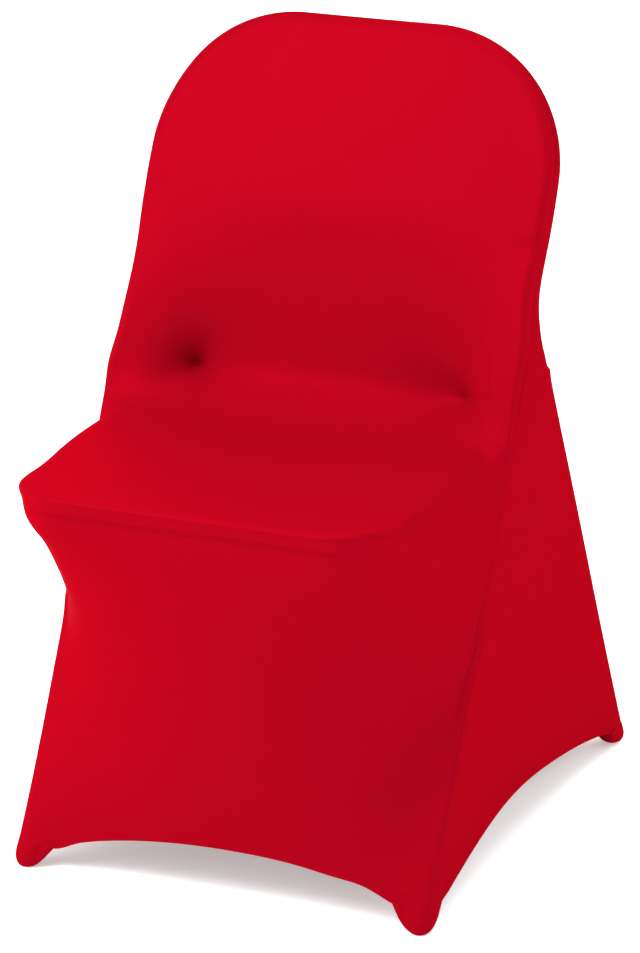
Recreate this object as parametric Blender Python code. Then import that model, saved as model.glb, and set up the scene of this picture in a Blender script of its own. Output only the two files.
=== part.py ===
"""Stretch cover for a folding chair, pulled tight over its seat, back and four legs.

Front is -Y, up is +Z, the floor is z = 0, and the two halves mirror each other in X.
The cloth is pulled over a frame of lines: a hoop of tube that runs up each front leg,
past the seat and round the top of the back, and two rear legs. Between its lines the
cloth is a taut net, in which each free knot is the mean of its four neighbours.
"""

import math

import bpy
import numpy as np

# Cloth, in metres; WRAP is from a tube's middle to the outside of the cloth on it
CLOTH = 0.0020
SEAM_GAP = 0.0003
WRAP = 0.0145

# Hoop: front foot, seat joint, and shoulders and top of the back
FOOT_X = 0.2235
UPRIGHT_X = 0.2195
FRONT_FOOT_Y = -0.2410
LEG_LEAN = math.radians(27.4)
SEAT_JOINT_Z = 0.4485
BEND_Z = 0.6400
BACK_LEAN = math.radians(23.8)
TOP_Z = 0.8465
SHOULDER_RADIUS = 0.1570
BEND_SOFTNESS = 0.0180
WAIST_Z = 0.5900
WAIST_IN = 0.0035
WAIST_SPREAD = 0.0500

# Rear legs
REAR_FOOT_X = 0.2385
REAR_FOOT_Y = 0.3120
REAR_TOP_X = 0.2280
REAR_TOP_Y = 0.0745
REAR_TOP_Z = 0.5070
REAR_FADE = 0.8500
REAR_FADE_POWER = 2.5

# Seat, as the cloth lies on it
SEAT_HALF_WIDTH = 0.2130
SEAT_REAR_HALF_WIDTH = 0.2090
SEAT_FRONT_Y = -0.3245
SEAT_CORNER = 0.0700
SEAT_REST_Y = -0.0330
SEAT_DISH = 0.0030
RIM_INSET = 0.0070
RIM_DROP = 0.0150
RIM_TURN = 66.0
SEAT_ROW_EASE = 1.5

# Trough behind the seat, and the two dimples where the cloth is drawn into the gap there
TROUGH_Y = 0.0240
TROUGH_Z = 0.4760
DIMPLE_X = 0.1550
DIMPLE_Y = 0.0480
DIMPLE_Z = 0.4740

# Foot pockets and hems
POCKET_RIM_Z = 0.0260
POCKET_RADIUS = 0.0165
POCKET_FLAT = 0.0090
POCKET_DOME_Z = 0.0095
POCKET_HEEL_Z = 0.0035
POCKET_HEEL_IN = 0.0025
POCKET_SIDES = 20
POCKET_RINGS = 4
POCKET_FLARE = 1.1
HEM_Z = POCKET_RIM_Z + SEAM_GAP
FRONT_ARCH = 0.0560
SIDE_ARCH = 0.0590
REAR_ARCH = 0.0560
HEM_BOW = 0.0060
LOBE = 0.0310
SLIDE_FADE = 0.1000

# Turns round a tube, in degrees from straight outward towards the front
BACK_TURN = -90.0
BACK_BEND_TURN = -60.0
REAR_SEAM_TURN = -30.0
SIDE_TURN = -4.0
SIDE_SEAM_ALLOWANCE = 10.0
SEAM_GAP_TURN = math.degrees(SEAM_GAP / 2 / WRAP)

# Columns from the middle of a panel to the rim of the seat, and on to the tube
TO_RIM = 9
HALF = 13
DIMPLE_COLUMN = 7
SIDE_COLUMNS = 8
REAR_ROWS = 9
ACROSS_PULL = 3.5
SHARP_EDGE = math.radians(50)

# Rows of the front panel up to each named one. Its hoop value says where the row meets the
# hoop: 0 foot, 1 seat joint, 2 foot of the shoulder, 2.5 middle of the shoulder, 4 middle
# of the top. leave and seam are turns: where the panel leaves the tube, and its seam.
FRONT_ROWS = (
    {"name": "hem", "rows": 0, "hoop": HEM_Z / SEAT_JOINT_Z, "leave": 86, "seam": 50},
    {"name": "shin", "rows": 4, "hoop": 0.40, "leave": 76, "seam": 40},
    {"name": "under_lip", "rows": 4, "hoop": 0.64, "leave": 50, "seam": 20},
    {"name": "crease", "rows": 1, "hoop": 0.67, "leave": 44, "seam": 18},
    {"name": "lip", "rows": 1, "hoop": 0.69, "leave": 40, "seam": 16},
    {"name": "rim", "rows": 1, "hoop": 0.71, "leave": 37, "seam": 14},
    {"name": "seat_rest", "rows": 6, "hoop": 0.95, "leave": 30, "seam": 8},
    {"name": "joint", "rows": 1, "hoop": 1.00, "leave": 50, "seam": 14},
    {"name": "back_edge", "rows": 6, "hoop": 1.79, "leave": 86, "seam": 26},
    {"name": "shoulder", "rows": 7, "hoop": 2.50, "leave": 88, "seam": 26},
)
TOP_HOOP = 4.0

# Front edge of the seat from its underside up: inset from the front, height, and how far
# round the corner the row's last knot on it lies
LIP_ROWS = (
    {"name": "under_lip", "inset": 0.0055, "z": 0.4150, "corner": 40},
    {"name": "crease", "inset": 0.0065, "z": 0.4320, "corner": 42},
    {"name": "lip", "inset": 0.0000, "z": 0.4395, "corner": 43},
    {"name": "rim", "inset": RIM_INSET, "z": 0.4475, "corner": 45},
)

# Reach of a pocket's rim from the foot's middle, by turn
POCKET_RIM = (
    {"turn": -90, "reach": 0.0190},
    {"turn": -64, "reach": 0.0335},
    {"turn": -45, "reach": 0.0205},
    {"turn": 0, "reach": 0.0145},
    {"turn": 45, "reach": 0.0155},
    {"turn": 90, "reach": 0.0160},
    {"turn": 135, "reach": 0.0225},
    {"turn": 153, "reach": 0.0345},
    {"turn": 180, "reach": 0.0190},
    {"turn": 225, "reach": 0.0165},
    {"turn": 270, "reach": 0.0190},
)

RED = (0.6300, 0.0040, 0.0160)


def row_of(name):
    """The number of a named row of the front panel."""
    row = 0
    for station in FRONT_ROWS:
        row += station["rows"]
        if station["name"] == name:
            return row
    raise ValueError(name)


def along_rows(key):
    """A column of FRONT_ROWS, filled in smoothly for every row."""
    marks = np.cumsum([station["rows"] for station in FRONT_ROWS])
    values = [station[key] for station in FRONT_ROWS]
    return np.interp(np.arange(marks[-1] + 1), marks, values)


def vectors(x, y, z):
    return np.stack(np.broadcast_arrays(x, y, z), axis=-1).astype(float)


def mirrored(points):
    return points * np.array([-1.0, 1.0, 1.0])


SHOULDER_Z = TOP_Z - SHOULDER_RADIUS * math.cos(BACK_LEAN)
LEG_SLOPE = math.tan(LEG_LEAN)


def hoop_y(z):
    """Depth of the hoop's middle at a height: the leg's line, bent softly under the backrest."""
    past = BEND_SOFTNESS * np.logaddexp(0.0, (z - BEND_Z) / BEND_SOFTNESS)
    return FRONT_FOOT_Y + LEG_SLOPE * z + (math.tan(BACK_LEAN) - LEG_SLOPE) * past


def hoop(where):
    """Middle of the tube, and its outward, front and along directions, at hoop values."""
    where = np.atleast_1d(np.asarray(where, float))
    leg = np.clip(where, 0, 1) * SEAT_JOINT_Z
    height = leg + np.clip(where - 1, 0, 1) * (SHOULDER_Z - SEAT_JOINT_Z)
    turn = np.clip(where - 2, 0, 1) * math.pi / 2
    radius = SHOULDER_RADIUS - WRAP
    across = np.interp(height, [0, SHOULDER_Z], [FOOT_X, UPRIGHT_X]) - radius
    across -= WAIST_IN * np.exp(-(((height - WAIST_Z) / WAIST_SPREAD) ** 2))
    across = (across + radius * np.cos(turn)) * (1 - np.clip(where - 3, 0, 1))
    up = radius * np.sin(turn)
    middle = vectors(
        across,
        hoop_y(height) + up * math.sin(BACK_LEAN),
        height + up * math.cos(BACK_LEAN),
    )
    slope = (hoop_y(height + CLOTH) - hoop_y(height - CLOTH)) / (2 * CLOTH)
    lean = np.arctan(slope)
    along = vectors(0, np.sin(lean), np.cos(lean))
    front = vectors(0, -np.cos(lean), np.sin(lean))
    side = vectors(1, 0, 0)
    outward = side * np.cos(turn)[:, None] + along * np.sin(turn)[:, None]
    return middle, outward, front, along, lean


def rear_leg(height):
    """The same for a rear leg, at heights."""
    height = np.atleast_1d(np.asarray(height, float))
    share = height / REAR_TOP_Z
    middle = vectors(
        REAR_FOOT_X + share * (REAR_TOP_X - REAR_FOOT_X),
        REAR_FOOT_Y + share * (REAR_TOP_Y - REAR_FOOT_Y),
        height,
    )
    lean = np.full(len(height), math.atan((REAR_TOP_Y - REAR_FOOT_Y) / REAR_TOP_Z))
    along = vectors(0, np.sin(lean), np.cos(lean))
    front = vectors(0, -np.cos(lean), np.sin(lean))
    return middle, vectors(1 + 0 * lean, 0, 0), front, along, lean


def rear_of_back(where):
    """The line that the back panel bends round: from the rear leg's top to the hoop's tube."""
    middle, outward, front, along, lean = hoop(where)
    start, _, _, _, rear_lean = rear_leg(REAR_TOP_Z)
    fade = np.clip(1 - (np.atleast_1d(where) - 1) / REAR_FADE, 0, 1) ** REAR_FADE_POWER
    offset = start - hoop(1.0)[0]
    lean = lean + (rear_lean - lean) * fade
    along = np.where(fade[:, None] > 0, vectors(0, np.sin(lean), np.cos(lean)), along)
    front = vectors(0, -np.cos(lean), np.sin(lean))
    return middle + offset * fade[:, None], outward, front, along, lean


def wrapped(line, turn):
    """Points and normals on the cloth round a tube, at turns in degrees.

    Near the floor the points slide along the tube, so that the hem is cut level.
    """
    middle, outward, front, along, lean = line
    turn = np.radians(np.broadcast_to(turn, len(middle)))[:, None]
    normal = outward * np.cos(turn) + front * np.sin(turn)
    slide = np.clip(1 - (middle[:, 2:] - HEM_Z) / SLIDE_FADE, 0, 1)
    level = along * np.sin(turn) * np.tan(lean)[:, None] * slide
    return middle + WRAP * (normal - level), normal


def taut(grid, held):
    """The net with each free knot at the mean of its four neighbours, solved exactly.

    The neighbours across count ACROSS_PULL times, because the rows lie further apart.
    """
    rows, columns = held.shape
    free = np.argwhere(~held)
    number = -np.ones((rows, columns), int)
    number[tuple(free.T)] = np.arange(len(free))
    pull = np.eye(len(free)) * 2 * (1 + ACROSS_PULL)
    known = np.zeros((len(free), 3))
    for step in ((0, 1), (0, -1), (1, 0), (-1, 0)):
        near = free + step
        index = number[tuple(near.T)]
        inside = index >= 0
        weight = ACROSS_PULL if step[1] else 1
        pull[np.flatnonzero(inside), index[inside]] -= weight
        known[~inside] += weight * grid[tuple(near[~inside].T)]
    result = grid.copy()
    result[tuple(free.T)] = np.linalg.solve(pull, known)
    return result


def both_halves(half):
    """A net's right half, from the middle outward, joined to its mirror image."""
    return np.concatenate([mirrored(half[:, :0:-1]), half], axis=1)


def arch(share, top, height=HEM_Z):
    """Height of a hem at a share of the way from its middle to the pocket's lobe."""
    return height + (top - height) * np.clip(1 - share**2, 0, 1)


def lip_row(lip):
    """Knots along the front edge of the seat, from its middle into the corner."""
    straight = SEAT_HALF_WIDTH - SEAT_CORNER
    bend = math.radians(lip["corner"]) * SEAT_CORNER
    way = np.linspace(0, straight + bend, TO_RIM + 1)
    turns = np.clip(way - straight, 0, None) / SEAT_CORNER
    radius = SEAT_CORNER - lip["inset"]
    x = np.minimum(way, straight) + radius * np.sin(turns)
    y = SEAT_FRONT_Y + SEAT_CORNER - radius * np.cos(turns)
    return vectors(x, y, lip["z"])


def front_net():
    """The front panel's net from the hem to the shoulder, and the knots that are held."""
    where = along_rows("hoop")
    rows = len(where)
    half = np.zeros((rows, HALF + 1, 3))
    held = np.zeros((rows, HALF + 1), bool)
    half[:, HALF], _ = wrapped(hoop(where), along_rows("leave"))
    held[:, HALF] = True

    share = np.linspace(0, 1, HALF + 1)
    tip = (FOOT_X - LOBE) / half[0, HALF, 0]
    reach = np.clip(share / tip, 0, 1)
    bow = HEM_BOW * (1 - reach**2)
    half[0] = vectors(half[0, HALF, 0] * share, half[0, HALF, 1] - bow, arch(reach, FRONT_ARCH))
    held[0] = True

    across = TOP_HOOP + (where[-1] - TOP_HOOP) * share
    half[-1], _ = wrapped(hoop(across), FRONT_ROWS[-1]["leave"])
    held[-1] = True

    for lip in LIP_ROWS:
        row = row_of(lip["name"])
        half[row, : TO_RIM + 1] = lip_row(lip)
        held[row, : TO_RIM + 1] = True
    hold_seat(half, held)
    hold_trough(half, held)
    grid = both_halves(half)
    held = np.concatenate([held[:, :0:-1], held], axis=1)
    return taut(grid, held), where


def hold_seat(half, held):
    """Knots that lie on the seat: its top, a little dished, and its rounded side edge."""
    first, last = row_of("rim"), row_of("seat_rest")
    rim = half[first, : TO_RIM + 1].copy()
    corner_y = SEAT_FRONT_Y + SEAT_CORNER
    radius = SEAT_CORNER - RIM_INSET
    turn_share = (90 - RIM_TURN) / (90 - LIP_ROWS[-1]["corner"])
    for row in range(first, last + 1):
        share = ((row - first) / (last - first)) ** SEAT_ROW_EASE
        side_y = rim[-1, 1] + share * (SEAT_REST_Y - rim[-1, 1])
        centre_x = SEAT_HALF_WIDTH + share * (SEAT_REAR_HALF_WIDTH - SEAT_HALF_WIDTH) - SEAT_CORNER
        ahead = max(corner_y - side_y, 0)
        edge_x = centre_x + math.sqrt(radius**2 - ahead**2)
        if row > first:
            x = rim[:, 0] * edge_x / rim[-1, 0]
            y = rim[:, 1] + share * (SEAT_REST_Y - rim[:, 1])
            dish = SEAT_DISH * math.sin(math.pi * share) * np.cos(math.pi / 2 * x / edge_x)
            half[row, : TO_RIM + 1] = vectors(x, y, SEAT_JOINT_Z - dish)
            held[row, : TO_RIM + 1] = True
        turn = turn_share * math.asin(ahead / radius)
        half[row, TO_RIM + 1] = (
            centre_x + SEAT_CORNER * math.cos(turn),
            max(side_y, corner_y) - SEAT_CORNER * math.sin(turn),
            SEAT_JOINT_Z - RIM_DROP,
        )
        held[row, TO_RIM + 1] = True


def hold_trough(half, held):
    """Knots drawn back behind the seat, deepest at the dimple."""
    row = row_of("joint") + 1
    for column in range(DIMPLE_COLUMN + 1):
        share = column / DIMPLE_COLUMN
        deep = share**4
        half[row, column] = (
            DIMPLE_X * share,
            TROUGH_Y + (DIMPLE_Y - TROUGH_Y) * deep,
            TROUGH_Z + (DIMPLE_Z - TROUGH_Z) * deep,
        )
        held[row, column] = True


def edge_bands(net, bands, flip):
    """Outer points, normals and faces of a net with bands of knots along its sides and top.

    Each band is (points, normals) for the right half of the edge, from the bottom up to the
    middle of the top; flip turns the faces round for a panel that looks backwards.
    """
    rows, columns = net.shape[:2]
    index = np.arange(rows * columns).reshape(rows, columns)
    middle = columns // 2
    edge = np.concatenate([index[:, -1], index[-1, -2:0:-1], index[::-1, 0]])
    points = [net.reshape(-1, 3)]
    faces = [quads(index)]
    inner = edge
    count = rows * columns
    for band, _ in bands:
        whole = np.concatenate([band, mirrored(band[-2::-1])])
        outer = count + np.arange(len(whole))
        faces.append(quads(np.stack([inner, outer], axis=1)))
        points.append(whole)
        inner = outer
        count += len(whole)
    points = np.concatenate(points)
    faces = np.concatenate(faces)
    if flip:
        faces = faces[:, ::-1]
    normals = point_normals(points, faces)
    start = rows * columns
    for _, band in bands:
        whole = np.concatenate([band, mirrored(band[-2::-1])])
        normals[start : start + len(whole)] = whole
        start += len(whole)
    return points, normals, faces


def quads(index):
    """Faces between neighbouring rows of point numbers, seen with rows up and columns right."""
    corners = (index[:-1, :-1], index[:-1, 1:], index[1:, 1:], index[1:, :-1])
    return np.stack([corner.ravel() for corner in corners], axis=1)


def point_normals(points, faces):
    """Unit normals at the points, as the mean of the faces round each."""
    a, b, c, d = (points[faces[:, k]] for k in range(4))
    flat = np.cross(c - a, d - b)
    total = np.zeros_like(points)
    for k in range(4):
        np.add.at(total, faces[:, k], flat)
    return total / np.linalg.norm(total, axis=1, keepdims=True)


def level(normals, rows):
    """The same normals, made level at the numbered points, so that a hem is cut level."""
    flat = normals[rows] * np.array([1.0, 1.0, 0.0])
    normals[rows] = flat / np.linalg.norm(flat, axis=1, keepdims=True)


def open_edges(faces):
    """Edges that belong to one face, each in the direction in which that face runs."""
    edges = np.concatenate([faces[:, [k, (k + 1) % 4]] for k in range(4)])
    seen = {tuple(edge) for edge in edges}
    return np.array([edge for edge in edges if (edge[1], edge[0]) not in seen])


def add_piece(name, points, faces, finish):
    """An object of this name with this closed mesh, shaded smooth except at its rims."""
    mesh = bpy.data.meshes.new(name)
    mesh.from_pydata(points.tolist(), [], faces)
    mesh.materials.append(finish)
    mesh.shade_smooth()
    mesh.set_sharp_from_angle(angle=SHARP_EDGE)
    piece = bpy.data.objects.new(name, mesh)
    bpy.context.collection.objects.link(piece)


def cloth_piece(name, points, normals, faces, finish):
    """A closed sheet CLOTH thick, with these points on its outside."""
    count = len(points)
    rim = open_edges(faces)
    sides = np.stack([rim[:, 1], rim[:, 0], rim[:, 0] + count, rim[:, 1] + count], axis=1)
    body = np.concatenate([points, points - CLOTH * normals])
    every = np.concatenate([faces, faces[:, ::-1] + count, sides])
    add_piece(name, body, every.tolist(), finish)


def turns_at(where, key):
    """Turns of the front panel's seam, or of where it leaves the tube, at hoop values."""
    return np.interp(where, along_rows("hoop"), along_rows(key))


def front_panel(finish):
    """Front of the back, seat and apron in one cloth."""
    net, rows = front_net()
    top = rows[-1] + (TOP_HOOP - rows[-1]) * np.arange(1, HALF + 1) / HALF
    where = np.concatenate([rows, top])
    bands = []
    for share in (0.5, 1.0):
        leave = turns_at(where, "leave")
        seam = turns_at(where, "seam") + SEAM_GAP_TURN
        bands.append(wrapped(hoop(where), leave + share * (seam - leave)))
    points, normals, faces = edge_bands(net, bands, flip=False)
    level(normals, points[:, 2] < FRONT_ARCH + CLOTH)
    cloth_piece("front_panel", points, normals, faces, finish)


def back_rows():
    """Hoop values of the back panel's rows above the rear legs, from the seat joint up."""
    rows = along_rows("hoop")
    return rows[row_of("joint") :]


def back_net():
    """The back panel's net, from the rear hem to the shoulder."""
    heights = np.linspace(HEM_Z, REAR_TOP_Z, REAR_ROWS + 1)[:-1]
    upper = back_rows()
    low, _ = wrapped(rear_leg(heights), BACK_TURN)
    high, _ = wrapped(rear_of_back(upper), BACK_TURN)
    side = np.concatenate([low, high])
    half = np.zeros((len(side), HALF + 1, 3))
    held = np.zeros(half.shape[:2], bool)
    half[:, HALF] = side
    held[:, HALF] = True
    share = np.linspace(0, 1, HALF + 1)
    tip = (REAR_FOOT_X - LOBE) / side[0, 0]
    reach = np.clip(share / tip, 0, 1)
    half[0] = vectors(side[0, 0] * share, side[0, 1], arch(reach, REAR_ARCH))
    held[0] = True
    across = TOP_HOOP + (upper[-1] - TOP_HOOP) * share
    half[-1], _ = wrapped(hoop(across), BACK_TURN)
    held[-1] = True
    held = np.concatenate([held[:, :0:-1], held], axis=1)
    return taut(both_halves(half), held), heights, upper


def back_panel(finish):
    """Back of the cover, with a narrow wedge that reaches forward to the seat joint."""
    net, heights, upper = back_net()
    top = upper[-1] + (TOP_HOOP - upper[-1]) * np.arange(1, HALF + 1) / HALF
    where = np.concatenate([upper, top])
    legs = rear_leg(heights)
    bands = []
    for turn in (BACK_BEND_TURN, REAR_SEAM_TURN):
        gap = SEAM_GAP_TURN if turn == REAR_SEAM_TURN else 0
        low = wrapped(legs, turn - gap)
        high = wrapped(rear_of_back(where), turn)
        bands.append([np.concatenate(pair) for pair in zip(low, high)])
    points, normals, faces = edge_bands(net, bands, flip=True)
    points, normals, faces = add_wedges(points, normals, faces, where, len(heights))
    level(normals, points[:, 2] < REAR_ARCH + CLOTH)
    cloth_piece("back_panel", points, normals, faces, finish)


def add_wedges(points, normals, faces, where, legs):
    """Two more bands above the rear legs, out to the seam with the front panel."""
    edge = len(points) - (2 * (legs + len(where)) - 1)
    inner = edge + legs + np.arange(2 * len(where) - 1)
    seam = turns_at(where, "seam") - SEAM_GAP_TURN
    for line, turn in ((rear_of_back(where), SIDE_TURN), (hoop(where), seam)):
        band, band_normals = wrapped(line, turn)
        whole = np.concatenate([band, mirrored(band[-2::-1])])
        whole_normals = np.concatenate([band_normals, mirrored(band_normals[-2::-1])])
        outer = len(points) + np.arange(len(whole))
        faces = np.concatenate([faces, quads(np.stack([inner, outer], axis=1))[:, ::-1]])
        points = np.concatenate([points, whole])
        normals = np.concatenate([normals, whole_normals])
        inner = outer
    return points, normals, faces


def side_net():
    """The right gusset's net and normals, from the side hem to its short top seam."""
    where = along_rows("hoop")[: row_of("joint") + 1]
    rows = len(where)
    share = (where - where[0]) / (where[-1] - where[0])
    heights = HEM_Z + share * (REAR_TOP_Z - HEM_Z)
    net = np.zeros((rows, SIDE_COLUMNS + 1, 3))
    normals = np.zeros_like(net)
    front, rear = hoop(where), rear_leg(heights)
    seam = turns_at(where, "seam") - SEAM_GAP_TURN
    for column, line, turn in (
        (0, front, seam),
        (1, front, seam - SIDE_SEAM_ALLOWANCE),
        (-2, rear, SIDE_TURN),
        (-1, rear, REAR_SEAM_TURN + SEAM_GAP_TURN),
    ):
        net[:, column], normals[:, column] = wrapped(line, turn)
    held = np.zeros(net.shape[:2], bool)
    held[:, [0, 1, -2, -1]] = True
    between = np.linspace(0, 1, SIDE_COLUMNS - 1)[1:-1, None]
    net[0, 2:-2] = net[0, 1] + between * (net[0, -2] - net[0, 1])
    middle = (net[0, 1, 1] + net[0, -2, 1]) / 2
    reach = (REAR_FOOT_Y - LOBE) - middle
    net[0, 2:-2, 2] = arch(np.abs(net[0, 2:-2, 1] - middle) / reach, SIDE_ARCH)
    seam_way = np.linspace(0, 1, SIDE_COLUMNS)[1:-1, None]
    net[-1, 1:-2] = net[-1, 0] + seam_way * (net[-1, -2] - net[-1, 0])
    held[[0, -1]] = True
    net = taut(net, held)
    net[-1, :, 2] -= SEAM_GAP
    return net, normals


def side_panels(finish):
    """The two gussets between the front and rear legs."""
    net, edge_normals = side_net()
    index = np.arange(net[..., 0].size).reshape(net.shape[:2])
    faces = quads(index)
    points = net.reshape(-1, 3)
    normals = point_normals(points, faces)
    for column in (0, -1):
        normals[index[:, column]] = edge_normals[:, column]
    level(normals, index[0])
    cloth_piece("side_panel_right", points, normals, faces, finish)
    cloth_piece("side_panel_left", mirrored(points), mirrored(normals), faces[:, ::-1], finish)


def pocket_rings():
    """Height and closeness to the rim's outline of each ring of a pocket, from the rim down."""
    steps = np.linspace(1, 0, POCKET_RINGS + 1)
    rise = POCKET_DOME_Z + (POCKET_RIM_Z - POCKET_DOME_Z) * steps
    return list(zip(rise, steps**POCKET_FLARE))


def pocket_points(foot, lean, inward, back):
    """Rings of points on a pocket, its outside shrunk inward by a cloth's thickness or none."""
    turns = np.linspace(0, 2 * math.pi, POCKET_SIDES, endpoint=False)
    degrees = (np.degrees(turns) + 90) % 360 - 90
    rim = np.interp(
        degrees, [row["turn"] for row in POCKET_RIM], [row["reach"] for row in POCKET_RIM]
    )
    rings = []
    for height, share in pocket_rings():
        reach = POCKET_RADIUS + (rim - POCKET_RADIUS) * share - inward
        rings.append((reach, height))
    heel = POCKET_RADIUS - POCKET_HEEL_IN - inward
    rings.append((heel, POCKET_HEEL_Z + inward / 2))
    rings.append((POCKET_FLAT - inward / 2, inward))
    points = []
    for reach, height in rings:
        x = foot[0] + reach * np.cos(turns)
        y = foot[1] + lean * height - back * reach * np.sin(turns)
        points.append(vectors(x, y, height))
    return points


def foot_pocket(name, foot, lean, back, side, finish):
    """A small closed pocket; back is -1 for a rear one, whose lobes point forward."""
    outside = pocket_points(foot, lean, 0.0, back)
    inside = pocket_points(foot, lean, CLOTH, back)
    rings = np.concatenate([outside[::-1], inside])
    rows = len(rings)
    index = np.arange(rows * POCKET_SIDES).reshape(rows, POCKET_SIDES)
    faces = quads(np.concatenate([index, index[:, :1]], axis=1)).tolist()
    faces.append(index[0, ::-1].tolist())
    faces.append(index[-1].tolist())
    points = rings.reshape(-1, 3)
    if side < 0:
        points = mirrored(points)
    if side * back > 0:
        faces = [face[::-1] for face in faces]
    add_piece(name, points, faces, finish)


def foot_pockets(finish):
    rear_lean = (REAR_TOP_Y - REAR_FOOT_Y) / REAR_TOP_Z
    for place, foot, lean, back in (
        ("front", (FOOT_X, FRONT_FOOT_Y), LEG_SLOPE, 1),
        ("rear", (REAR_FOOT_X, REAR_FOOT_Y), rear_lean, -1),
    ):
        for hand, side in (("right", 1), ("left", -1)):
            foot_pocket(f"foot_pocket_{place}_{hand}", foot, lean, back, side, finish)


def red_knit():
    """Plain red stretch knit with a soft satin sheen."""
    material = bpy.data.materials.new("red_knit")
    material.use_nodes = True
    shader = material.node_tree.nodes["Principled BSDF"]
    shader.inputs["Base Color"].default_value = (*RED, 1.0)
    shader.inputs["Roughness"].default_value = 0.55
    shader.inputs["Metallic"].default_value = 0.0
    return material


def main():
    for item in list(bpy.data.objects):
        bpy.data.objects.remove(item, do_unlink=True)
    finish = red_knit()
    front_panel(finish)
    back_panel(finish)
    side_panels(finish)
    foot_pockets(finish)


main()
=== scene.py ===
"""Stretch chair cover, dressed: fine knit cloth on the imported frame, seams, stitches and stage.

Front is -Y and up is +Z. Each panel is a net of knots over two numbers: its rows run up the
cover and its columns run across it. Where the cloth lies on something, the knots are held on
that form; between the forms the net is taut, each knot the mean of its four neighbours.
"""

import math

import bpy
import numpy as np
from bpy.props import FloatProperty, FloatVectorProperty, PointerProperty
from mathutils import Matrix, Vector


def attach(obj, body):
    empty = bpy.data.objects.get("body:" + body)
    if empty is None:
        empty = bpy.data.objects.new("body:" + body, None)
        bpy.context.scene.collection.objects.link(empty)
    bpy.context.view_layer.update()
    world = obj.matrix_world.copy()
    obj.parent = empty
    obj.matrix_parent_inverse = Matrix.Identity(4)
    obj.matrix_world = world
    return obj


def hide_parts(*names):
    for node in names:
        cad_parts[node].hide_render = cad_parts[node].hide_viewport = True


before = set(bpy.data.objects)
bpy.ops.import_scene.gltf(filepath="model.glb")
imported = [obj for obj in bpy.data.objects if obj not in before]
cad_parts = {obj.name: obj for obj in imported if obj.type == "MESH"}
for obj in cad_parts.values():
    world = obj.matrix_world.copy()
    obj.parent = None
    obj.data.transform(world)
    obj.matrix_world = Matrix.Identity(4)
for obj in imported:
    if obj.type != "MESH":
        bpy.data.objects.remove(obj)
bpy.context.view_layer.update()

bl_info = {
    "name": "Stretch chair cover",
    "version": (1, 0, 0),
    "blender": (4, 5, 0),
    "location": "3D View > Sidebar > Cover",
    "description": "Fine knit cloth, seams and stage for a stretch chair cover",
    "category": "Object",
}

# The frame that the cloth is pulled over, in metres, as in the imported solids: the gap and the
# fold at a seam, the reach of a tube, then the legs, the back, the seat and its trough
SEAM_GAP = 0.0001
ALLOWANCE = 0.0050
WRAP = 0.0145
FOOT_X = 0.2235
UPRIGHT_X = 0.2195
FRONT_FOOT_Y = -0.2410
LEG_LEAN = math.radians(27.4)
SEAT_JOINT_Z = 0.4485
BEND_Z = 0.6400
BACK_LEAN = math.radians(23.8)
TOP_Z = 0.8465
SHOULDER_RADIUS = 0.1570
BEND_SOFTNESS = 0.0180
WAIST_Z = 0.5900
WAIST_IN = 0.0035
WAIST_SPREAD = 0.0500
REAR_FOOT_X = 0.2385
REAR_FOOT_Y = 0.3120
REAR_TOP_X = 0.2280
REAR_TOP_Y = 0.0745
REAR_TOP_Z = 0.5070
REAR_FADE = 0.8500
REAR_FADE_POWER = 2.5
SEAT_HALF_WIDTH = 0.2130
SEAT_REAR_HALF_WIDTH = 0.2090
SEAT_FRONT_Y = -0.3245
SEAT_CORNER = 0.0700
SEAT_REST_Y = -0.0330
SEAT_DISH = 0.0030
RIM_INSET = 0.0050
RIM_DROP = 0.0150
RIM_TURN = 66.0
SEAT_ROW_EASE = 1.5
SEAT_EDGE_ROWS = 2.0
TROUGH_Y = 0.0240
TROUGH_Z = 0.4760
TROUGH_POWER = 4
DIMPLE_X = 0.1550
DIMPLE_Y = 0.0480
DIMPLE_Z = 0.4740
SHOULDER_Z = TOP_Z - SHOULDER_RADIUS * math.cos(BACK_LEAN)
LEG_SLOPE = math.tan(LEG_LEAN)

# Foot pockets, their cloth and their sole's rings, and the arches of the hems
POCKET_RIM_Z = 0.0260
POCKET_RADIUS = 0.0165
POCKET_FLAT = 0.0050
POCKET_DOME_Z = 0.0170
POCKET_FLARE = 1.15
POCKET_TUCK = 0.0022
POCKET_SIDES = 72
POCKET_RINGS = 24
POCKET_THICKER = 1.5
POCKET_GIRTH = 0.1100
POCKET_RING_STEP = 0.0015
SOLE_SHARES = (0.66, 0.33, 0.0)
HEM_Z = POCKET_RIM_Z + SEAM_GAP
FRONT_ARCH = 0.0560
SIDE_ARCH = 0.0590
REAR_ARCH = 0.0560
HEM_BOW = 0.0060
LOBE = 0.0310
FRONT_SIDE_LOBE = 0.0210
SLIDE_FADE = 0.1000

# Turns round a tube, in degrees from straight outward towards the front
BACK_TURN = -90.0
REAR_SEAM_TURN = -30.0
SIDE_TURN = -4.0
SIDE_LEAVE = 4.0
SEAM_TURN = math.degrees(SEAM_GAP / 2 / WRAP)

# Coarse rows and columns, as in the solids, and how many fine ones each is cut into
TO_RIM = 9
HALF = 13
DIMPLE_COLUMN = 7
REAR_ROWS = 9
FINE_ROWS = 8
FINE_COLUMNS = 5
WEDGE_TURNS = 4
WEDGE_STEPS = 24
WEDGE_LAST = (0.985, 1.0)
FRONT_WRAP = 9
FRONT_WRAP_EASE = 1.5
SPAN = 36
REAR_WRAP = 5
SIDE_COLUMNS = FRONT_WRAP + SPAN + REAR_WRAP

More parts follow.
